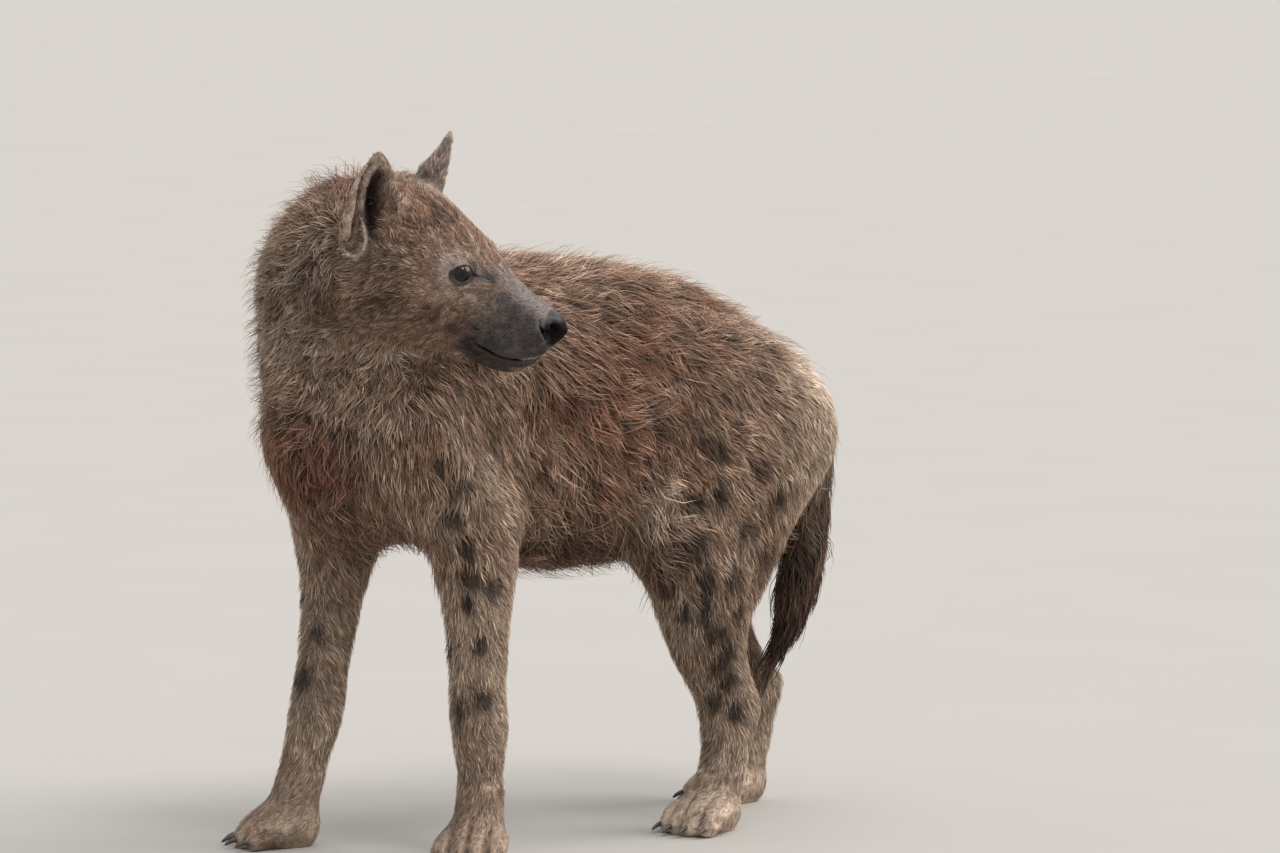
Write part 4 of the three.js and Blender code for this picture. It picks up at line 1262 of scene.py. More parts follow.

# %% [markdown]
# ## Large patches
# Besides the spots, the coat has large soft patches of buff, rust and dark brown, and a few dark patches
# are painted shadow: under the cheekbone and in the crease between the neck and the right foreleg. They
# too are named by where they are in the picture, each with its size in millimetres, and repeated on the
# far side.

# %% Patches of buff, rust, dark brown and ash, and painted shadow
PATCH_PIXELS = {
    "pale": [
        ((545, 262), 26), ((735, 332), 36), ((800, 415), 36), ((790, 470), 26), ((645, 492), 24),
        ((262, 240), 26), ((560, 460), 24), ((735, 560), 30), ((482, 620), 26), ((368, 372), 26),
        ((395, 354), 16), ((785, 365), 40), ((700, 600), 30), ((540, 520), 26), ((480, 470), 26),
        ((812, 430), 30), ((800, 500), 26), ((345, 395), 30), ((285, 345), 26), ((320, 345), 24),
        ((372, 398), 26),
    ],
    "rust": [
        ((620, 282), 22), ((635, 330), 36), ((790, 352), 24), ((560, 400), 30), ((690, 470), 26),
        ((330, 460), 40), ((660, 280), 24), ((430, 450), 34), ((350, 190), 24), ((352, 378), 28),
        ((372, 392), 30), ((600, 262), 24), ((690, 300), 26), ((610, 350), 30), ((600, 420), 26),
    ],
    # Painted shadow: the dark patches at (424, 311), (438, 317) and (454, 325) under the cheekbone, and at
    # (300, 420) in the crease of the chest.
    "dark": [
        ((693, 346), 16), ((690, 385), 15), ((665, 415), 28), ((590, 540), 38), ((700, 430), 15),
        ((617, 296), 12), ((560, 520), 24), ((330, 300), 26), ((395, 225), 12), ((520, 300), 16),
        ((424, 311), 9), ((438, 317), 11), ((454, 325), 10), ((382, 300), 14), ((300, 420), 14),
    ],
    "ash": [((262, 325), 26), ((256, 295), 20), ((305, 268), 16), ((300, 330), 18)],
}


def twin_of(place):
    in_head = in_head_mm(at(*(place * MM))[None])[0]
    if -20 < in_head[0] < 260 and abs(in_head[1]) < 110 and abs(in_head[2]) < 140:
        return in_body_mm(from_head(in_head * [1, -1, 1] * MM)[None])[0]
    return place * [1, -1, 1]


# What each kind of patch adds to the rusty, the pale and the dark field.
PATCH_EFFECT = {"pale": (-0.3, 0.45, -0.25), "rust": (0.5, -0.25, 0), "dark": (0, -0.3, 0.42)}
patch_total = {name: np.zeros(len(body_mm)) for name in PATCH_PIXELS}
for name, marks in PATCH_PIXELS.items():
    for pixel, size in marks:
        place = seen_through(pixel)
        for centre in (place, twin_of(place)) if place is not None else ():
            gap = np.linalg.norm(body_mm - centre, axis=1) + 6 * speckle + 10 * mottle
            patch_total[name] = np.maximum(patch_total[name], bell(np.maximum(gap, 0), size))
for name, (rust_change, pale_change, dark_change) in PATCH_EFFECT.items():
    rust = rust + rust_change * patch_total[name]
    pale = pale + pale_change * patch_total[name]
    dark = dark + dark_change * patch_total[name]
print({name: len(marks) for name, marks in PATCH_PIXELS.items()}, "patches")

# %% [markdown]
# ## Bare and dark skin
# The nose, the rims of the eyes and the lips have no hair. Hair thins out towards them, and the skin
# there is almost black.

# %% Bare places
LID_SHADE_PIXELS = [(472, 266), (479, 267), (485, 270)]
eye_arm = half - eye_middle
across, height = eye_arm @ nosewards, eye_arm @ upwards
eye_gap = np.hypot(across, height) - rim_radius(np.arctan2(height, across))
on_eye_side = (eye_arm @ gaze > -3) & (np.linalg.norm(eye_arm, axis=1) < EYE_SURROUND)
lower_rim = 1 + smooth_step(3, -6, height)
eye_rim = on_eye_side * smooth_step(4.8, 2.2, eye_gap / lower_rim)
eye_rim = eye_rim * (1 - 0.2 * smooth_step(1, -6, height) * smooth_step(0, 2, eye_gap))
ring_part = np.maximum(smooth_step(11, -2, across), smooth_step(2, -6, height))
eye_ring = on_eye_side * bell(eye_gap - 9.5, 6.5) * ring_part * (1 - smooth_step(8, 2, tear_gap))
pale_brow = part["head"] * bell(brow_gap, 7)
pale = pale + 0.5 * eye_ring
length = length * (1 - 0.5 * on_eye_side * bell(eye_gap, 9))
tear_rim = smooth_step(4.0, 1.2, tear_gap) * (1 - 0.4 * tear_along) * part["head"]
nose_pad = part["head"] * smooth_step(226, 231, nosewards_mm + 0.35 * (crown_mm + 40))
nose_pad = nose_pad * smooth_step(-72, -64, crown_mm)
lips = part["head"] * smooth_step(4.4, 1.8, mouth_gap) * smooth_step(1.0, 0.85, mouth_along)
in_nostril = smooth_step(0.15, 0.5, nostril_share)
bare = np.clip(np.maximum.reduce([eye_rim, 0.8 * tear_rim, nose_pad, 0.9 * lips, in_nostril]), 0, 1)
print("bare points:", int((bare > 0.5).sum()))

# %% Grey of the muzzle, shades round the eye and the mouth, a painted glint on the lip and painted shade in the holes
lid_shade_gap, _ = gap_to_path(half, traced(LID_SHADE_PIXELS))
around_eye = on_eye_side * smooth_step(13, 3, eye_gap) * smooth_step(-6, 6, across)
upper_fold = on_eye_side * bell(eye_gap - 4.5, 2.8) * smooth_step(0, 4, height)
grey = np.clip(
    grey_muzzle * (1 + 0.2 * speckle) + 0.45 * upper_fold + 0.35 * mouth_dark + 0.3 * around_eye
    + (0.8 * smooth_step(8, 2, tear_gap) + 0.9 * bell(lid_shade_gap, 6)) * part["head"], 0, 1,
)
below_mouth = part["head"] * smooth_step(1, -3, above_mouth) * smooth_step(120, 165, nosewards_mm)
# Painted highlight: a thin pale line along the wet edge of the upper lip, for its glint.
painted_lip_glint = part["head"] * bell(above_mouth - 3.2, 2.2) * smooth_step(206, 222, nosewards_mm)
pale = pale + 0.9 * painted_lip_glint
chin_rim = part["head"] * smooth_step(-9, -14, above_mouth) * smooth_step(190, 212, nosewards_mm)
dark = dark + below_mouth * (1 - 0.7 * chin_rim)
grey = np.clip(grey + 0.8 * below_mouth, 0, 1) * (1 - 0.5 * chin_rim) * (1 - 0.8 * painted_lip_glint)
tail_spot = 0.6 * tail_dark * (1 - 0.8 * tail_edge) * smooth_step(500, 430, up)
# The ear hole takes the spot dye as painted shade.
spot = np.maximum.reduce([spot, tail_spot, 0.95 * painted_ear_hole_shade])
rust, pale, dark, spot = (np.clip(field, 0, 1) for field in (rust, pale, dark, spot))
# The ash field is partly the cool grey of the ears, the brow and the neck, and partly painted light: the
# sheen on the muzzle's top, the glint on the upper lip and the paler far ear.
ash = (
    0.6 * painted_muzzle_sheen + 0.4 * ear_edges + 0.3 * part["ear"] * (1 - in_cup) + 0.25 * in_band + 0.6 * eye_ring
    + 0.35 * painted_light_far_ear + 0.5 * patch_total["ash"] + 0.5 * pale_brow
    + 0.25 * crest * smooth_step(-20, -90, left) + 0.4 * painted_lip_glint + 0.4 * chin_rim
)
FIELDS = {
    "rust": rust, "pale": pale, "dark": dark, "spot": spot, "grey": grey, "ash": np.clip(ash, 0, 1),
    "bare": bare,
}
# Painted shade: the nostrils, the slit of the mouth and the ear holes are painted near black, and the lower
# half of the nose pad darker than its lit top.
deep = np.maximum.reduce([
    smooth_step(0.12, 0.5, nostril_share) * smooth_step(0.05, 0.35, nostril_along),
    smooth_step(0.3, 0.8, bell(mouth_gap, MOUTH_WIDTH)) * lips, 0.9 * painted_ear_hole_shade,
    0.85 * nose_pad * smooth_step(-29, -39, crown_mm),
])
for name, values in (*FIELDS.items(), ("deep", deep)):
    store_field(mesh, name, values)
print("grey and ash means:", [round(float(FIELDS[name].mean()), 2) for name in ("grey", "ash")])

# %% [markdown]
# ## Roots of the tufts
# Blender could grow this coat as particle hair or hair curves, but here every tuft is real mesh, so that
# the coat can be exported. First the roots: random points on the skin, a few too many, thinned so that
# no two in the same small cube remain. That spreads them evenly, as on a real pelt.

# %% Triangles of the skin and the sowing of roots
mesh.calc_loop_triangles()
corners = np.empty(len(mesh.loop_triangles) * 3, dtype=np.int32)
mesh.loop_triangles.foreach_get("vertices", corners)
corners = corners.reshape(-1, 3)
skin_points = coordinates(mesh)
soft_normals = blurred(vectors_of(mesh, "normal"), edges_of(mesh), 3)
main_part = np.argmax(shares, axis=1)
OVERSOW = 2.6
CELL_SHIFT = 0.137
CELL_CODE = np.array([1, 4001, 16008001])
first, second, third = (skin_points[corners[:, corner]] for corner in range(3))
areas = np.linalg.norm(np.cross(second - first, third - first), axis=1) / 2
long_haired = sum(part[group] for group in ("trunk", "neck", "thigh", "shoulder", "tail"))
shaggy = 0.45 + 0.55 * np.clip(long_haired, 0, 1)
HAIR_FIELDS = {
    "length": length, "width": width, "lift": lift, "curl": curl, "depth": depth[:, 0],
    "shaggy": shaggy, **FIELDS,
}


def unit(vectors):
    return vectors / np.maximum(np.linalg.norm(vectors, axis=1, keepdims=True), 1e-9)


def sow(group, gap):
    wanted = main_part[corners[:, 0]] == GROUP_NAMES.index(group)
    chosen = np.flatnonzero(wanted)
    expected = areas[chosen] / gap**2 * OVERSOW
    total = int(expected.sum())
    face = chosen[np.searchsorted(np.cumsum(expected), rng.uniform(0, expected.sum(), total))]
    split = np.sqrt(rng.uniform(0, 1, total))
    slide = rng.uniform(0, 1, total)
    weights = np.stack([1 - split, split * (1 - slide), split * slide], 1)
    place = (skin_points[corners[face]] * weights[:, :, None]).sum(1)
    cell = np.floor(place / gap + CELL_SHIFT).astype(np.int64)
    _, kept = np.unique(cell @ CELL_CODE, return_index=True)
    kept = np.sort(kept)
    roots = {"place": place[kept]}
    face, weights = corners[face[kept]], weights[kept]
    for name, values in HAIR_FIELDS.items():
        roots[name] = (values[face] * weights).sum(1)
    roots["normal"] = unit((soft_normals[face] * weights[:, :, None]).sum(1))
    roots["lay"] = (lay[face] * weights[:, :, None]).sum(1)
    roots["spot"] = np.maximum(roots["spot"], spots_at(in_body_mm(roots["place"])))
    return roots


def only(roots, kept):
    return {name: values[kept] for name, values in roots.items()}


# %% [markdown]
# ## The bend of a tuft
# A tuft leaves the skin at a slant, rises to the height of the coat and lies down along the body. Three
# points fix the bend: the root, a middle point, and the tip, which is held a little above the skin
# further along the lay. Neighbours lean to a common tip, so that the coat breaks into locks, as damp
# hair does.

# %% Tips and locks
body_tree = BVHTree.FromObject(skin, bpy.context.evaluated_depsgraph_get())
# Size in mm, pull to the common tip, and the lean of locks and of single hairs in radians.
LOCKS = {
    "head": (8, 0.42, 0.14, 0.12), "ear": (6, 0.2, 0.15, 0.2), "neck": (11, 0.5, 0.4, 0.3),
    "trunk": (18, 0.6, 0.3, 0.15), "tail": (15, 0.45, 0.16, 0.1), "shoulder": (10, 0.45, 0.16, 0.12),
    "forearm": (8, 0.35, 0.12, 0.12), "thigh": (11, 0.36, 0.2, 0.15), "shank": (8, 0.35, 0.12, 0.12),
    "paw": (6, 0.25, 0.12, 0.15),
}
WIDE_LOCK, WIDE_PULL = 2.7, 0.42
RAGGED = 0.25
LENGTH_RANGE, RISE_RANGE = (0.6, 1.12), (0.5, 1.08)
STRAYS, STRAY_RISE = 0.02, 1.35
STEEPEST = 0.85
BEND_AT, BEND_RISE = 0.42, 0.85
ROOT_SINK, ABOVE_FLOOR = 0.6, 1.2


def nearest_seed(places, gap, dice):
    order = dice.permutation(len(places))
    cell = np.floor(places[order] / gap).astype(np.int64)
    _, first = np.unique(cell @ CELL_CODE, return_index=True)
    seeds = order[first]
    tree = KDTree(len(seeds))
    for number, seed in enumerate(seeds):
        tree.insert(places[seed], number)
    tree.balance()
    return seeds[[tree.find(place)[1] for place in places]]


def bend(group, roots, dice):
    count = len(roots["place"])
    normal = roots["normal"]
    lock_size, pull, lock_lean, own_lean = LOCKS[group]
    lock = nearest_seed(roots["place"], lock_size * MM, dice)
    wide_lock = nearest_seed(roots["place"], lock_size * WIDE_LOCK * MM, dice)
    way = unit(roots["lay"] - normal * (roots["lay"] * normal).sum(1, keepdims=True))
    aside = np.cross(normal, way)
    lean = dice.normal(0, own_lean, count) + dice.normal(0, lock_lean, count)[lock]
    lean = lean + dice.normal(0, lock_lean, count)[wide_lock]
    way = unit(way + aside * lean[:, None])
    reach = roots["length"] * MM * dice.uniform(*LENGTH_RANGE, count)
    reach = reach * (1 + RAGGED * roots["shaggy"] * dice.uniform(-1, 1, count)[wide_lock])
    rise = roots["depth"] * MM * roots["lift"] * dice.uniform(*RISE_RANGE, count)
    stray = dice.uniform(0, 1, count) < STRAYS
    rise[stray] *= STRAY_RISE
    rise = np.minimum(rise, reach * STEEPEST)
    flat = np.sqrt(np.maximum(reach**2 - rise**2, (0.2 * reach) ** 2))
    tip = roots["place"] + way * flat[:, None]
    under = np.empty_like(tip)
    under_normal = np.empty_like(tip)
    for row in range(count):
        under[row], under_normal[row] = body_tree.find_nearest(tip[row])[:2]
    tip = under + under_normal * rise[:, None]
    for seed, strength in ((lock, pull), (wide_lock, pull * WIDE_PULL)):
        together = tip[seed] + (roots["place"] - roots["place"][seed]) * 0.25
        room = np.linalg.norm(together - roots["place"], axis=1) < 1.6 * reach
        tip += (together - tip) * strength * room[:, None] * dice.uniform(0.6, 1.1, count)[:, None]
    middle = roots["place"] + way * flat[:, None] * BEND_AT + normal * rise[:, None] * BEND_RISE
    wave = roots["curl"] * reach * dice.normal(0, 1, count)
    middle += aside * wave[:, None]
    tip[:, 2] = np.maximum(tip[:, 2], ABOVE_FLOOR * MM)
    middle[:, 2] = np.maximum(middle[:, 2], ABOVE_FLOOR * MM)
    start = roots["place"] - normal * ROOT_SINK * MM
    start[:, 2] = np.maximum(start[:, 2], ROOT_SINK * MM)
    return start, middle, tip, lock


# %% [markdown]
# ## Tufts of solid mesh
# Each tuft is a thin three-sided blade: a flat underside, a ridge, and one point at the tip. Two or
# three rings follow the bend. All the tufts of a piece are worked out at once in arrays, which takes a
# second where single objects would take hours. The map for baking unrolls each limb like a tube, side by
# side, and gives each tuft a tiny patch at its root's place on the unrolled skin.

# %% Building a piece of coat
MOST_TRIANGLES = 190000
PATCH = 0.003
LOCK_CHANGE = {"rust": 0.28, "pale": 0.22, "dark": 0.25}
SOFTNESS = 0.55
RIDGE = 0.8
LEAST_HEIGHT = 0.4
RING_SIDES = ((1, 0), (2, 1), (0, 2))
# The share of the width at each ring, by the number of rings.
RING_WIDTHS = {1: (1.0,), 2: (0.85, 0.9), 3: (0.8, 1.0, 0.75), 4: (0.8, 1.0, 0.9, 0.62)}


def unrolled(places, group):
    body = in_body_mm(places)
    strip = np.zeros(len(places), dtype=int)
    if group in ("shoulder", "forearm", "thigh", "shank", "paw"):
        strip += body[:, 1] > 0
    if group == "paw":
        strip += 2 * (body[:, 0] > 0)
    if group == "ear":
        strip += in_head_mm(places)[:, 1] > 0
    strips = strip.max() + 1
    patch = np.empty((len(places), 2))
    for number in range(strips):
        here = strip == number
        centre = places[here].mean(0)
        arm = places[here] - centre
        axis = np.linalg.eigh(np.cov(arm.T))[1][:, 2]
        if group in ("trunk", "neck"):
            axis = np.array([0.0, 1.0, 0.0])
        aside = np.cross(axis, [0.9, 0.1, 0.4])
        aside /= np.linalg.norm(aside)
        turn = (np.arctan2(arm @ np.cross(axis, aside), arm @ aside) / (2 * pi)) % 1.0
        run = arm @ axis
        run = (run - run.min()) / max(float(np.ptp(run)), 1e-6)
        room = 1 / strips - 2 * PATCH
        sideways = number / strips + PATCH / 2 + turn * room
        patch[here] = np.stack([sideways, PATCH / 2 + run * (1 - 2 * PATCH)], 1)
    return patch


def coat_piece(name, group, roots, rings, dice):
    count = len(roots["place"])
    start, middle, tip, lock = bend(group, roots, dice)
    steps = np.linspace(0, 1, rings + 1)
    rows = 3 * rings + 1
    spots = np.empty((count, rows, 3))
    for ring in range(rings + 1):
        t = steps[ring]
        centre = start * (1 - t) ** 2 + middle * 2 * t * (1 - t) + tip * t**2
        if ring == rings:
            spots[:, -1] = centre
            continue
        along = unit((middle - start) * (1 - t) + (tip - middle) * t)
        aside = unit(np.cross(along, roots["normal"]))
        above = np.cross(aside, along)
        half_width = roots["width"] * MM / 2 * RING_WIDTHS[rings][ring]
        spots[:, 3 * ring] = centre - aside * half_width[:, None]
        spots[:, 3 * ring + 1] = centre + aside * half_width[:, None]
        spots[:, 3 * ring + 2] = centre + above * half_width[:, None] * RIDGE
    spots[:, :, 2] = np.maximum(spots[:, :, 2], LEAST_HEIGHT * MM)
    pattern = [[0, 1, 2]]
    for ring in range(rings - 1):
        low, high = 3 * ring, 3 * ring + 3
        for side_a, side_b in RING_SIDES:
            pattern.append([low + side_a, low + side_b, high + side_b, high + side_a])
    last = 3 * (rings - 1)
    pattern += [[last + side_a, last + side_b, rows - 1] for side_a, side_b in RING_SIDES]
    sizes = [len(face) for face in pattern]
    flat_pattern = np.array([corner for face in pattern for corner in face])
    loops = (flat_pattern[None] + np.arange(count)[:, None] * rows).ravel()
    starts = np.cumsum([0] + sizes[:-1])[None] + np.arange(count)[:, None] * sum(sizes)
    form = bpy.data.meshes.new(name)
    form.vertices.add(count * rows)
    form.vertices.foreach_set("co", spots.ravel())
    form.loops.add(len(loops))
    form.loops.foreach_set("vertex_index", loops.astype(np.int32))
    form.polygons.add(count * len(pattern))
    form.polygons.foreach_set("loop_start", starts.ravel().astype(np.int32))
    shade_smooth(form)
    form.update(calc_edges=True)
    row_step = np.append(np.repeat(steps[:-1], 3), 1.0)
    row_side = np.append(np.tile([0.0, 1.0, 0.5], rings), 0.5)
    fields = {
        "along": np.tile(row_step, count),
        "tint": np.repeat(dice.uniform(0, 1, count), rows),
        "lock_tint": np.repeat(dice.uniform(0, 1, count)[lock], rows),
    }
    for field in FIELDS:
        change = dice.uniform(-1, 1, count)[lock] + 0.5 * dice.uniform(-1, 1, count)
        value = roots[field] + LOCK_CHANGE.get(field, 0) * change * roots["shaggy"]
        fields[field] = np.repeat(np.clip(value, 0, 1), rows)
    for field, values in fields.items():
        store_field(form, field, values)
    patch = unrolled(roots["place"], group)[:, None] + np.stack([row_side, row_step], 1)[None] * PATCH
    baking = form.uv_layers.new(name="OFBake")
    baking.uv.foreach_set("vector", patch.reshape(-1, 2)[loops].ravel().astype(np.float32))
    own = vectors_of(form, "normal")
    under = np.repeat(roots["normal"], rows, axis=0)
    share = SOFTNESS * smooth_step(-0.3, 0.4, (own * under).sum(1))[:, None]
    softer = own * (1 - share) + under * share
    form.normals_split_custom_set_from_vertices(unit(softer).tolist())
    return object_of(name, form)


print("a tuft of two rings has", 6 * (2 - 1) + 4, "triangles")


# %% [markdown]
# ## The layers of the coat
# A pelt has a short dense underfur and longer guard hairs over it. Here each part gets two or three
# layers: tufts that carry the look, shorter ones that close the gaps between them, and on the neck and
# trunk a few long thin strands that stand out. A piece takes only as many tufts as its limit of
# triangles allows.

# %% The coat
# Each layer: rings, gap between roots in mm, and shares of the length, the width and the lift.
LAYERS = {
    "head": [(1, 1.6, 1.0, 1.0, 1.0), (2, 4.2, 1.5, 1.1, 1.1)],
    "ear": [(1, 1.6, 1.0, 1.0, 1.0), (2, 3.2, 1.6, 1.0, 1.2)],
    "neck": [(2, 3.5, 1.0, 0.9, 1.0), (1, 3.0, 0.75, 0.75, 0.9), (3, 7.5, 1.6, 0.55, 1.9)],
    "trunk": [(3, 5.7, 1.08, 0.9, 1.0), (1, 4.0, 0.75, 0.65, 0.9), (3, 10.5, 1.5, 0.6, 1.7)],
    "tail": [(4, 3.9, 1.0, 1.0, 1.0), (2, 4.2, 0.7, 0.9, 1.0)],
    "shoulder": [(2, 4.1, 1.0, 0.95, 1.0), (1, 3.6, 0.75, 0.75, 0.9)],
    "forearm": [(2, 4.6, 1.15, 1.0, 1.0), (1, 2.7, 0.9, 0.85, 0.9)],
    "thigh": [(2, 4.2, 1.0, 0.95, 1.0), (1, 3.8, 0.75, 0.75, 0.9)],
    "shank": [(2, 4.6, 1.15, 1.0, 1.0), (1, 2.7, 0.9, 0.85, 0.9)],
    "paw": [(1, 2.4, 1.0, 1.0, 1.0)],
}
BALDING = (0.15, 0.6)
SOLE_HEIGHT = 3 * MM
coat = []
coat_triangles = 0
for group in GROUP_NAMES:
    for layer, (rings, gap, longer, wider, higher) in enumerate(LAYERS[group], 1):
        roots = sow(group, gap * MM)
        haired = roots["bare"] < rng.uniform(*BALDING, len(roots["bare"]))
        roots = only(roots, haired & (roots["place"][:, 2] > SOLE_HEIGHT))
        roots["length"] = roots["length"] * longer
        roots["width"] = roots["width"] * wider
        roots["lift"] = roots["lift"] * higher
        triangles = len(roots["place"]) * (6 * (rings - 1) + 4)
        pieces = int(np.ceil(triangles / MOST_TRIANGLES))
        coat_triangles += triangles
        order = np.argsort(roots["place"][:, 1] if group in ("trunk", "neck") else roots["place"][:, 0])
        for number, members in enumerate(np.array_split(order, pieces), 1):
            name = f"coat_{group}_{layer}_{number}"
            coat.append(coat_piece(name, group, only(roots, members), rings, rng))
        print(group, "layer", layer, "has", len(roots["place"]), "tufts in", pieces, "pieces")
print("the coat has", coat_triangles, "triangles in", len(coat), "pieces")

# %% [markdown]
# ## Colour of the coat
# A hair of a hyena is dark at the root and paler towards the tip; the dark roots are also painted shade,
# for the shade deep in the coat between the locks. A picture wrapped round the coat would not know root
# from tip, so the colour is mixed from dyes, each with a shade for the root and one for the tip. The
# markings choose the dye: a grey brown to start with, then rust, pale buff, near black, the cool grey of
# the muzzle, ash and the spots. Each tuft is a little lighter or darker than its neighbour.

# %% Dyes


def linear(red, green, blue):
    values = np.array([red, green, blue]) / 255
    return tuple(np.where(values <= 0.04045, values / 12.92, ((values + 0.055) / 1.055) ** 2.4)) + (1.0,)


# Tip and root of each dye. The dark roots are partly painted shade; pale and ash also paint light: the
# rim of the rump, the far ear, the sheen on the muzzle and the glint on the upper lip.
DYES = {
    "base": (linear(172, 142, 119), linear(66, 50, 41)),
    "rust": (linear(162, 108, 81), linear(70, 41, 30)),
    "pale": (linear(240, 218, 194), linear(140, 117, 97)),
    "dark": (linear(74, 58, 49), linear(24, 19, 16)),
    "grey": (linear(62, 58, 58), linear(24, 22, 22)),
    "spot": (linear(52, 40, 35), linear(20, 16, 14)),
    "ash": (linear(170, 154, 148), linear(106, 94, 89)),
}
DYE_STRENGTH = {"rust": 0.9, "grey": 1.0, "pale": 0.85, "dark": 0.95, "ash": 1.0, "spot": 0.94}
print(len(DYES), "dyes")

# %% A short way to write nodes


class Nodes:
    """A short way to write a material's nodes."""

    def __init__(self, name):
        self.material = bpy.data.materials.new(name)
        self.material.use_nodes = True
        self.tree = self.material.node_tree
        self.shader = self.tree.nodes["Principled BSDF"]

    def link(self, value, socket):
        if isinstance(value, bpy.types.NodeSocket):
            self.tree.links.new(value, socket)
        else:
            socket.default_value = value

    def field(self, name):
        node = self.tree.nodes.new("ShaderNodeAttribute")
        node.attribute_name = name
        return node.outputs["Fac"]

    def mix(self, share, first, second):
        node = self.tree.nodes.new("ShaderNodeMix")
        node.data_type = "RGBA"
        self.link(share, node.inputs[0])
        self.link(first, node.inputs[6])
        self.link(second, node.inputs[7])
        return node.outputs[2]

    def maths(self, operation, *values):
        node = self.tree.nodes.new("ShaderNodeMath")
        node.operation = operation
        for value, socket in zip(values, node.inputs):
            self.link(value, socket)
        return node.outputs[0]

    def between(self, value, low, high, new_low=0.0, new_high=1.0):
        node = self.tree.nodes.new("ShaderNodeMapRange")
        for given, socket in zip((value, low, high, new_low, new_high), node.inputs):
            self.link(given, socket)
        return node.outputs[0]

    def noise(self, scale, detail=2.0, roughness=0.5, spread=None):
        node = self.tree.nodes.new("ShaderNodeTexNoise")
        places = self.tree.nodes.new("ShaderNodeTexCoord").outputs["Object"]
        if spread is not None:
            stretch = self.tree.nodes.new("ShaderNodeMapping")
            stretch.inputs["Scale"].default_value = spread
            self.link(places, stretch.inputs["Vector"])
            places = stretch.outputs[0]
        self.link(places, node.inputs["Vector"])
        node.inputs["Scale"].default_value = scale
        node.inputs["Detail"].default_value = detail
        node.inputs["Roughness"].default_value = roughness
        return node.outputs["Fac"]

    def brighten(self, colour, amount):
        node = self.tree.nodes.new("ShaderNodeVectorMath")
        node.operation = "SCALE"
        self.link(colour, node.inputs[0])
        self.link(amount, node.inputs["Scale"])
        return node.outputs[0]

    def bump(self, height, strength, distance):
        node = self.tree.nodes.new("ShaderNodeBump")
        self.link(height, node.inputs["Height"])
        node.inputs["Strength"].default_value = strength
        node.inputs["Distance"].default_value = distance
        self.tree.links.new(node.outputs[0], self.shader.inputs["Normal"])


def dyed(finish, shade):
    """The colour of the markings, between root and tip by the shade from 0 to 1."""
    colour = finish.mix(shade, DYES["base"][1], DYES["base"][0])
    for name, strength in DYE_STRENGTH.items():
        dye = finish.mix(shade, DYES[name][1], DYES[name][0])
        share = finish.maths("MULTIPLY", finish.field(name), strength)
        colour = finish.mix(share, colour, dye)
    return colour


# %% Finish of the hair
HAIR_ROUGHNESS, HAIR_GLOSS = 0.6, 0.25
hair = Nodes("coat")
# Dark roots and pale tips: the hair's own colour, and painted shade deep in the coat at the roots.
pale_tip_and_root_shade = hair.between(hair.field("along"), 0.05, 0.85)
tint = hair.field("tint")
shade = hair.maths("MULTIPLY", pale_tip_and_root_shade, hair.between(tint, 0.0, 1.0, 0.45, 1.35))
shade = hair.maths("MULTIPLY", shade, hair.between(hair.field("lock_tint"), 0.0, 1.0, 0.45, 1.3))
lightness = hair.between(hair.field("lock_tint"), 0.0, 1.0, 0.78, 1.22)
lightness = hair.maths("MULTIPLY", hair.between(tint, 0.0, 1.0, 0.75, 1.3), lightness)
hair_colour = hair.brighten(dyed(hair, shade), lightness)
hair.link(hair_colour, hair.shader.inputs["Base Color"])
hair.shader.inputs["Roughness"].default_value = HAIR_ROUGHNESS
hair.shader.inputs["Specular IOR Level"].default_value = HAIR_GLOSS
print("the hair's finish has", len(hair.tree.nodes), "nodes")

# %% [markdown]
# ## Hide
# The bare skin of a hyena is almost black and finely pebbled, and it shines where it is wet: on the
# nose, on the lips and round the eyes. Painted shade makes it darker still inside the nostrils, the mouth
# and the ear holes, and on the lower half of the nose pad. Under the coat the skin takes the dyes of the
# hair, so that a gap between two tufts doesn't stand out. Noise gives the pebbles, because it needs no
# map and fits a surface of any shape.

# %% Finish of the hide
# The second colour is painted shade, for the nostrils, the mouth, the ear holes and the lower nose pad.
HIDE_BARE, HIDE_PAINTED_SHADE = linear(25, 22, 22), linear(9, 7, 7)
PEBBLE_STRENGTH, PEBBLE_HEIGHT = 0.35, 0.0012
hide = Nodes("hide")
under_shade = hide.between(hide.noise(420, 3, 0.6), 0.3, 0.7, 0.15, 0.75)
hide_colour = hide.mix(hide.field("bare"), dyed(hide, under_shade), HIDE_BARE)
# Painted shade: the field deep darkens the hide in the holes and on the lower half of the nose pad.
hide_colour = hide.mix(hide.field("deep"), hide_colour, HIDE_PAINTED_SHADE)
hide.link(hide_colour, hide.shader.inputs["Base Color"])
hide.link(hide.between(hide.field("bare"), 0.0, 1.0, 0.75, 0.36), hide.shader.inputs["Roughness"])
hide.link(hide.between(hide.field("deep"), 0.0, 0.8, 0.4, 0.02), hide.shader.inputs["Specular IOR Level"])
hide.bump(hide.noise(520, 3, 0.6), PEBBLE_STRENGTH, PEBBLE_HEIGHT)
print("the hide's finish has", len(hide.tree.nodes), "nodes")

# %% [markdown]
# ## Eyes, claws and floor
# The iris is dark brown with a fine grain and a darker rim, and little of the white shows. Each ring of
# the eyeball carries its angle, so plain ranges of that angle draw pupil, iris and white, with nothing
# to unwrap. The claws are dark horn with a coarser grain. The floor is plain and pale.

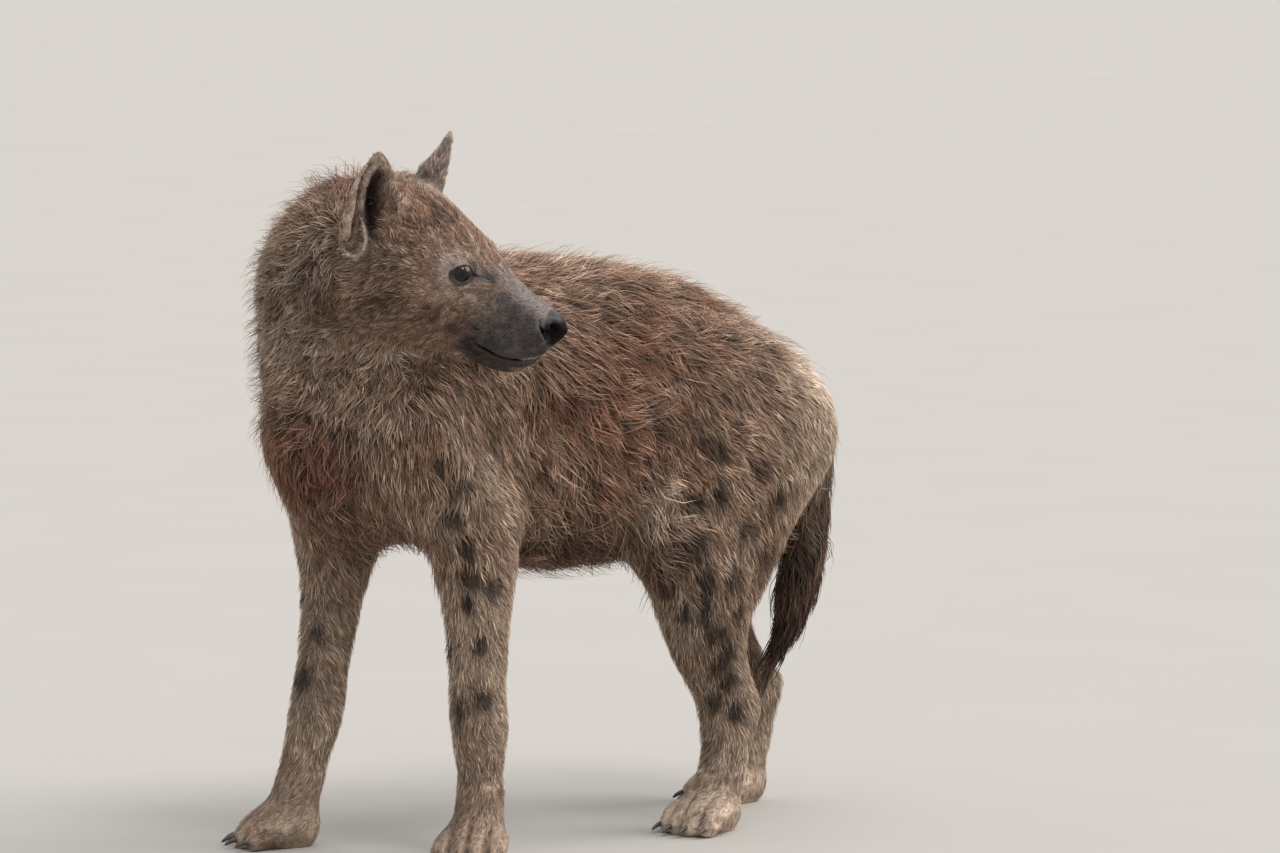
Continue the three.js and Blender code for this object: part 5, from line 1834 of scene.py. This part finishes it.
# %% Finish of the eyes
IRIS_DARK, IRIS_LIGHT, IRIS_RIM = linear(20, 11, 8), linear(36, 21, 14), linear(10, 7, 6)
PUPIL_COLOUR, WHITE_COLOUR = linear(4, 4, 5), linear(62, 50, 44)
PUPIL_ANGLE, PUPIL_EDGE, RIM_ANGLE, IRIS_EDGE = 0.27, 0.03, 0.5, 0.1
WET_ROUGHNESS, CORNEA_IOR = 0.05, 1.376
eye = Nodes("eye")
sight_angle = eye.field("sight_angle")
iris = eye.mix(eye.noise(900, 3, 0.7), IRIS_DARK, IRIS_LIGHT)
iris = eye.mix(eye.between(sight_angle, RIM_ANGLE, IRIS_ANGLE), iris, IRIS_RIM)
in_iris = eye.between(sight_angle, PUPIL_ANGLE, PUPIL_ANGLE + PUPIL_EDGE)
in_white = eye.between(sight_angle, IRIS_ANGLE, IRIS_ANGLE + IRIS_EDGE)
eye_colour = eye.mix(in_white, eye.mix(in_iris, PUPIL_COLOUR, iris), WHITE_COLOUR)
eye.link(eye_colour, eye.shader.inputs["Base Color"])
eye.shader.inputs["Roughness"].default_value = WET_ROUGHNESS
eye.shader.inputs["IOR"].default_value = CORNEA_IOR
print("the eyes' finish has", len(eye.tree.nodes), "nodes")

# %% Finish of the claws and the floor
HORN_DARK, HORN_LIGHT = linear(38, 32, 28), linear(88, 76, 66)
FLOOR_DARK, FLOOR_LIGHT = linear(164, 160, 153), linear(170, 166, 160)
horn = Nodes("horn")
horn_grain = horn.noise(600, 4, 0.6)
horn.link(horn.mix(horn_grain, HORN_DARK, HORN_LIGHT), horn.shader.inputs["Base Color"])
horn.link(horn.between(horn_grain, 0, 1, 0.35, 0.6), horn.shader.inputs["Roughness"])
horn.bump(horn_grain, 0.2, 0.0005)

plain = Nodes("floor")
plain.link(plain.mix(plain.noise(3, 4), FLOOR_DARK, FLOOR_LIGHT), plain.shader.inputs["Base Color"])
plain.shader.inputs["Roughness"].default_value = 0.9
print("finishes of the claws and the floor are ready")

# %% [markdown]
# ## Handing the pieces over
# Each piece gets its finish and rides on the animal's one body, and the solids that it stands for are
# hidden. The coat stands for no solid of its own, because the skin under it does. The solids keep a
# finish too, in case one of them is ever shown.

# %% Every piece rides on the body and stands for its nodes


def finish_with(thing, material):
    thing.data.materials.clear()
    thing.data.materials.append(material)


def hand_over(piece, finish, slot, *stands_for):
    finish_with(piece, finish.material)
    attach(piece, "root")
    if stands_for:
        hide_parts(*stands_for)
    for node in stands_for:
        finish_with(nodes[node], finish.material)


shade_smooth(mesh)
finish_with(floor, plain.material)
hand_over(skin, hide, "dark_hide", *FLESH)
for name, piece in eyeballs.items():
    hand_over(piece, eye, "eye", name)
for name, piece in claws.items():
    hand_over(piece, horn, "horn", name)
for piece in coat:
    slot = "tail_hair" if "tail" in piece.name else "ear_hair" if "ear" in piece.name else "coat"
    hand_over(piece, hair, slot)
print(1 + len(eyeballs) + len(claws) + len(coat), "pieces ride on the body")
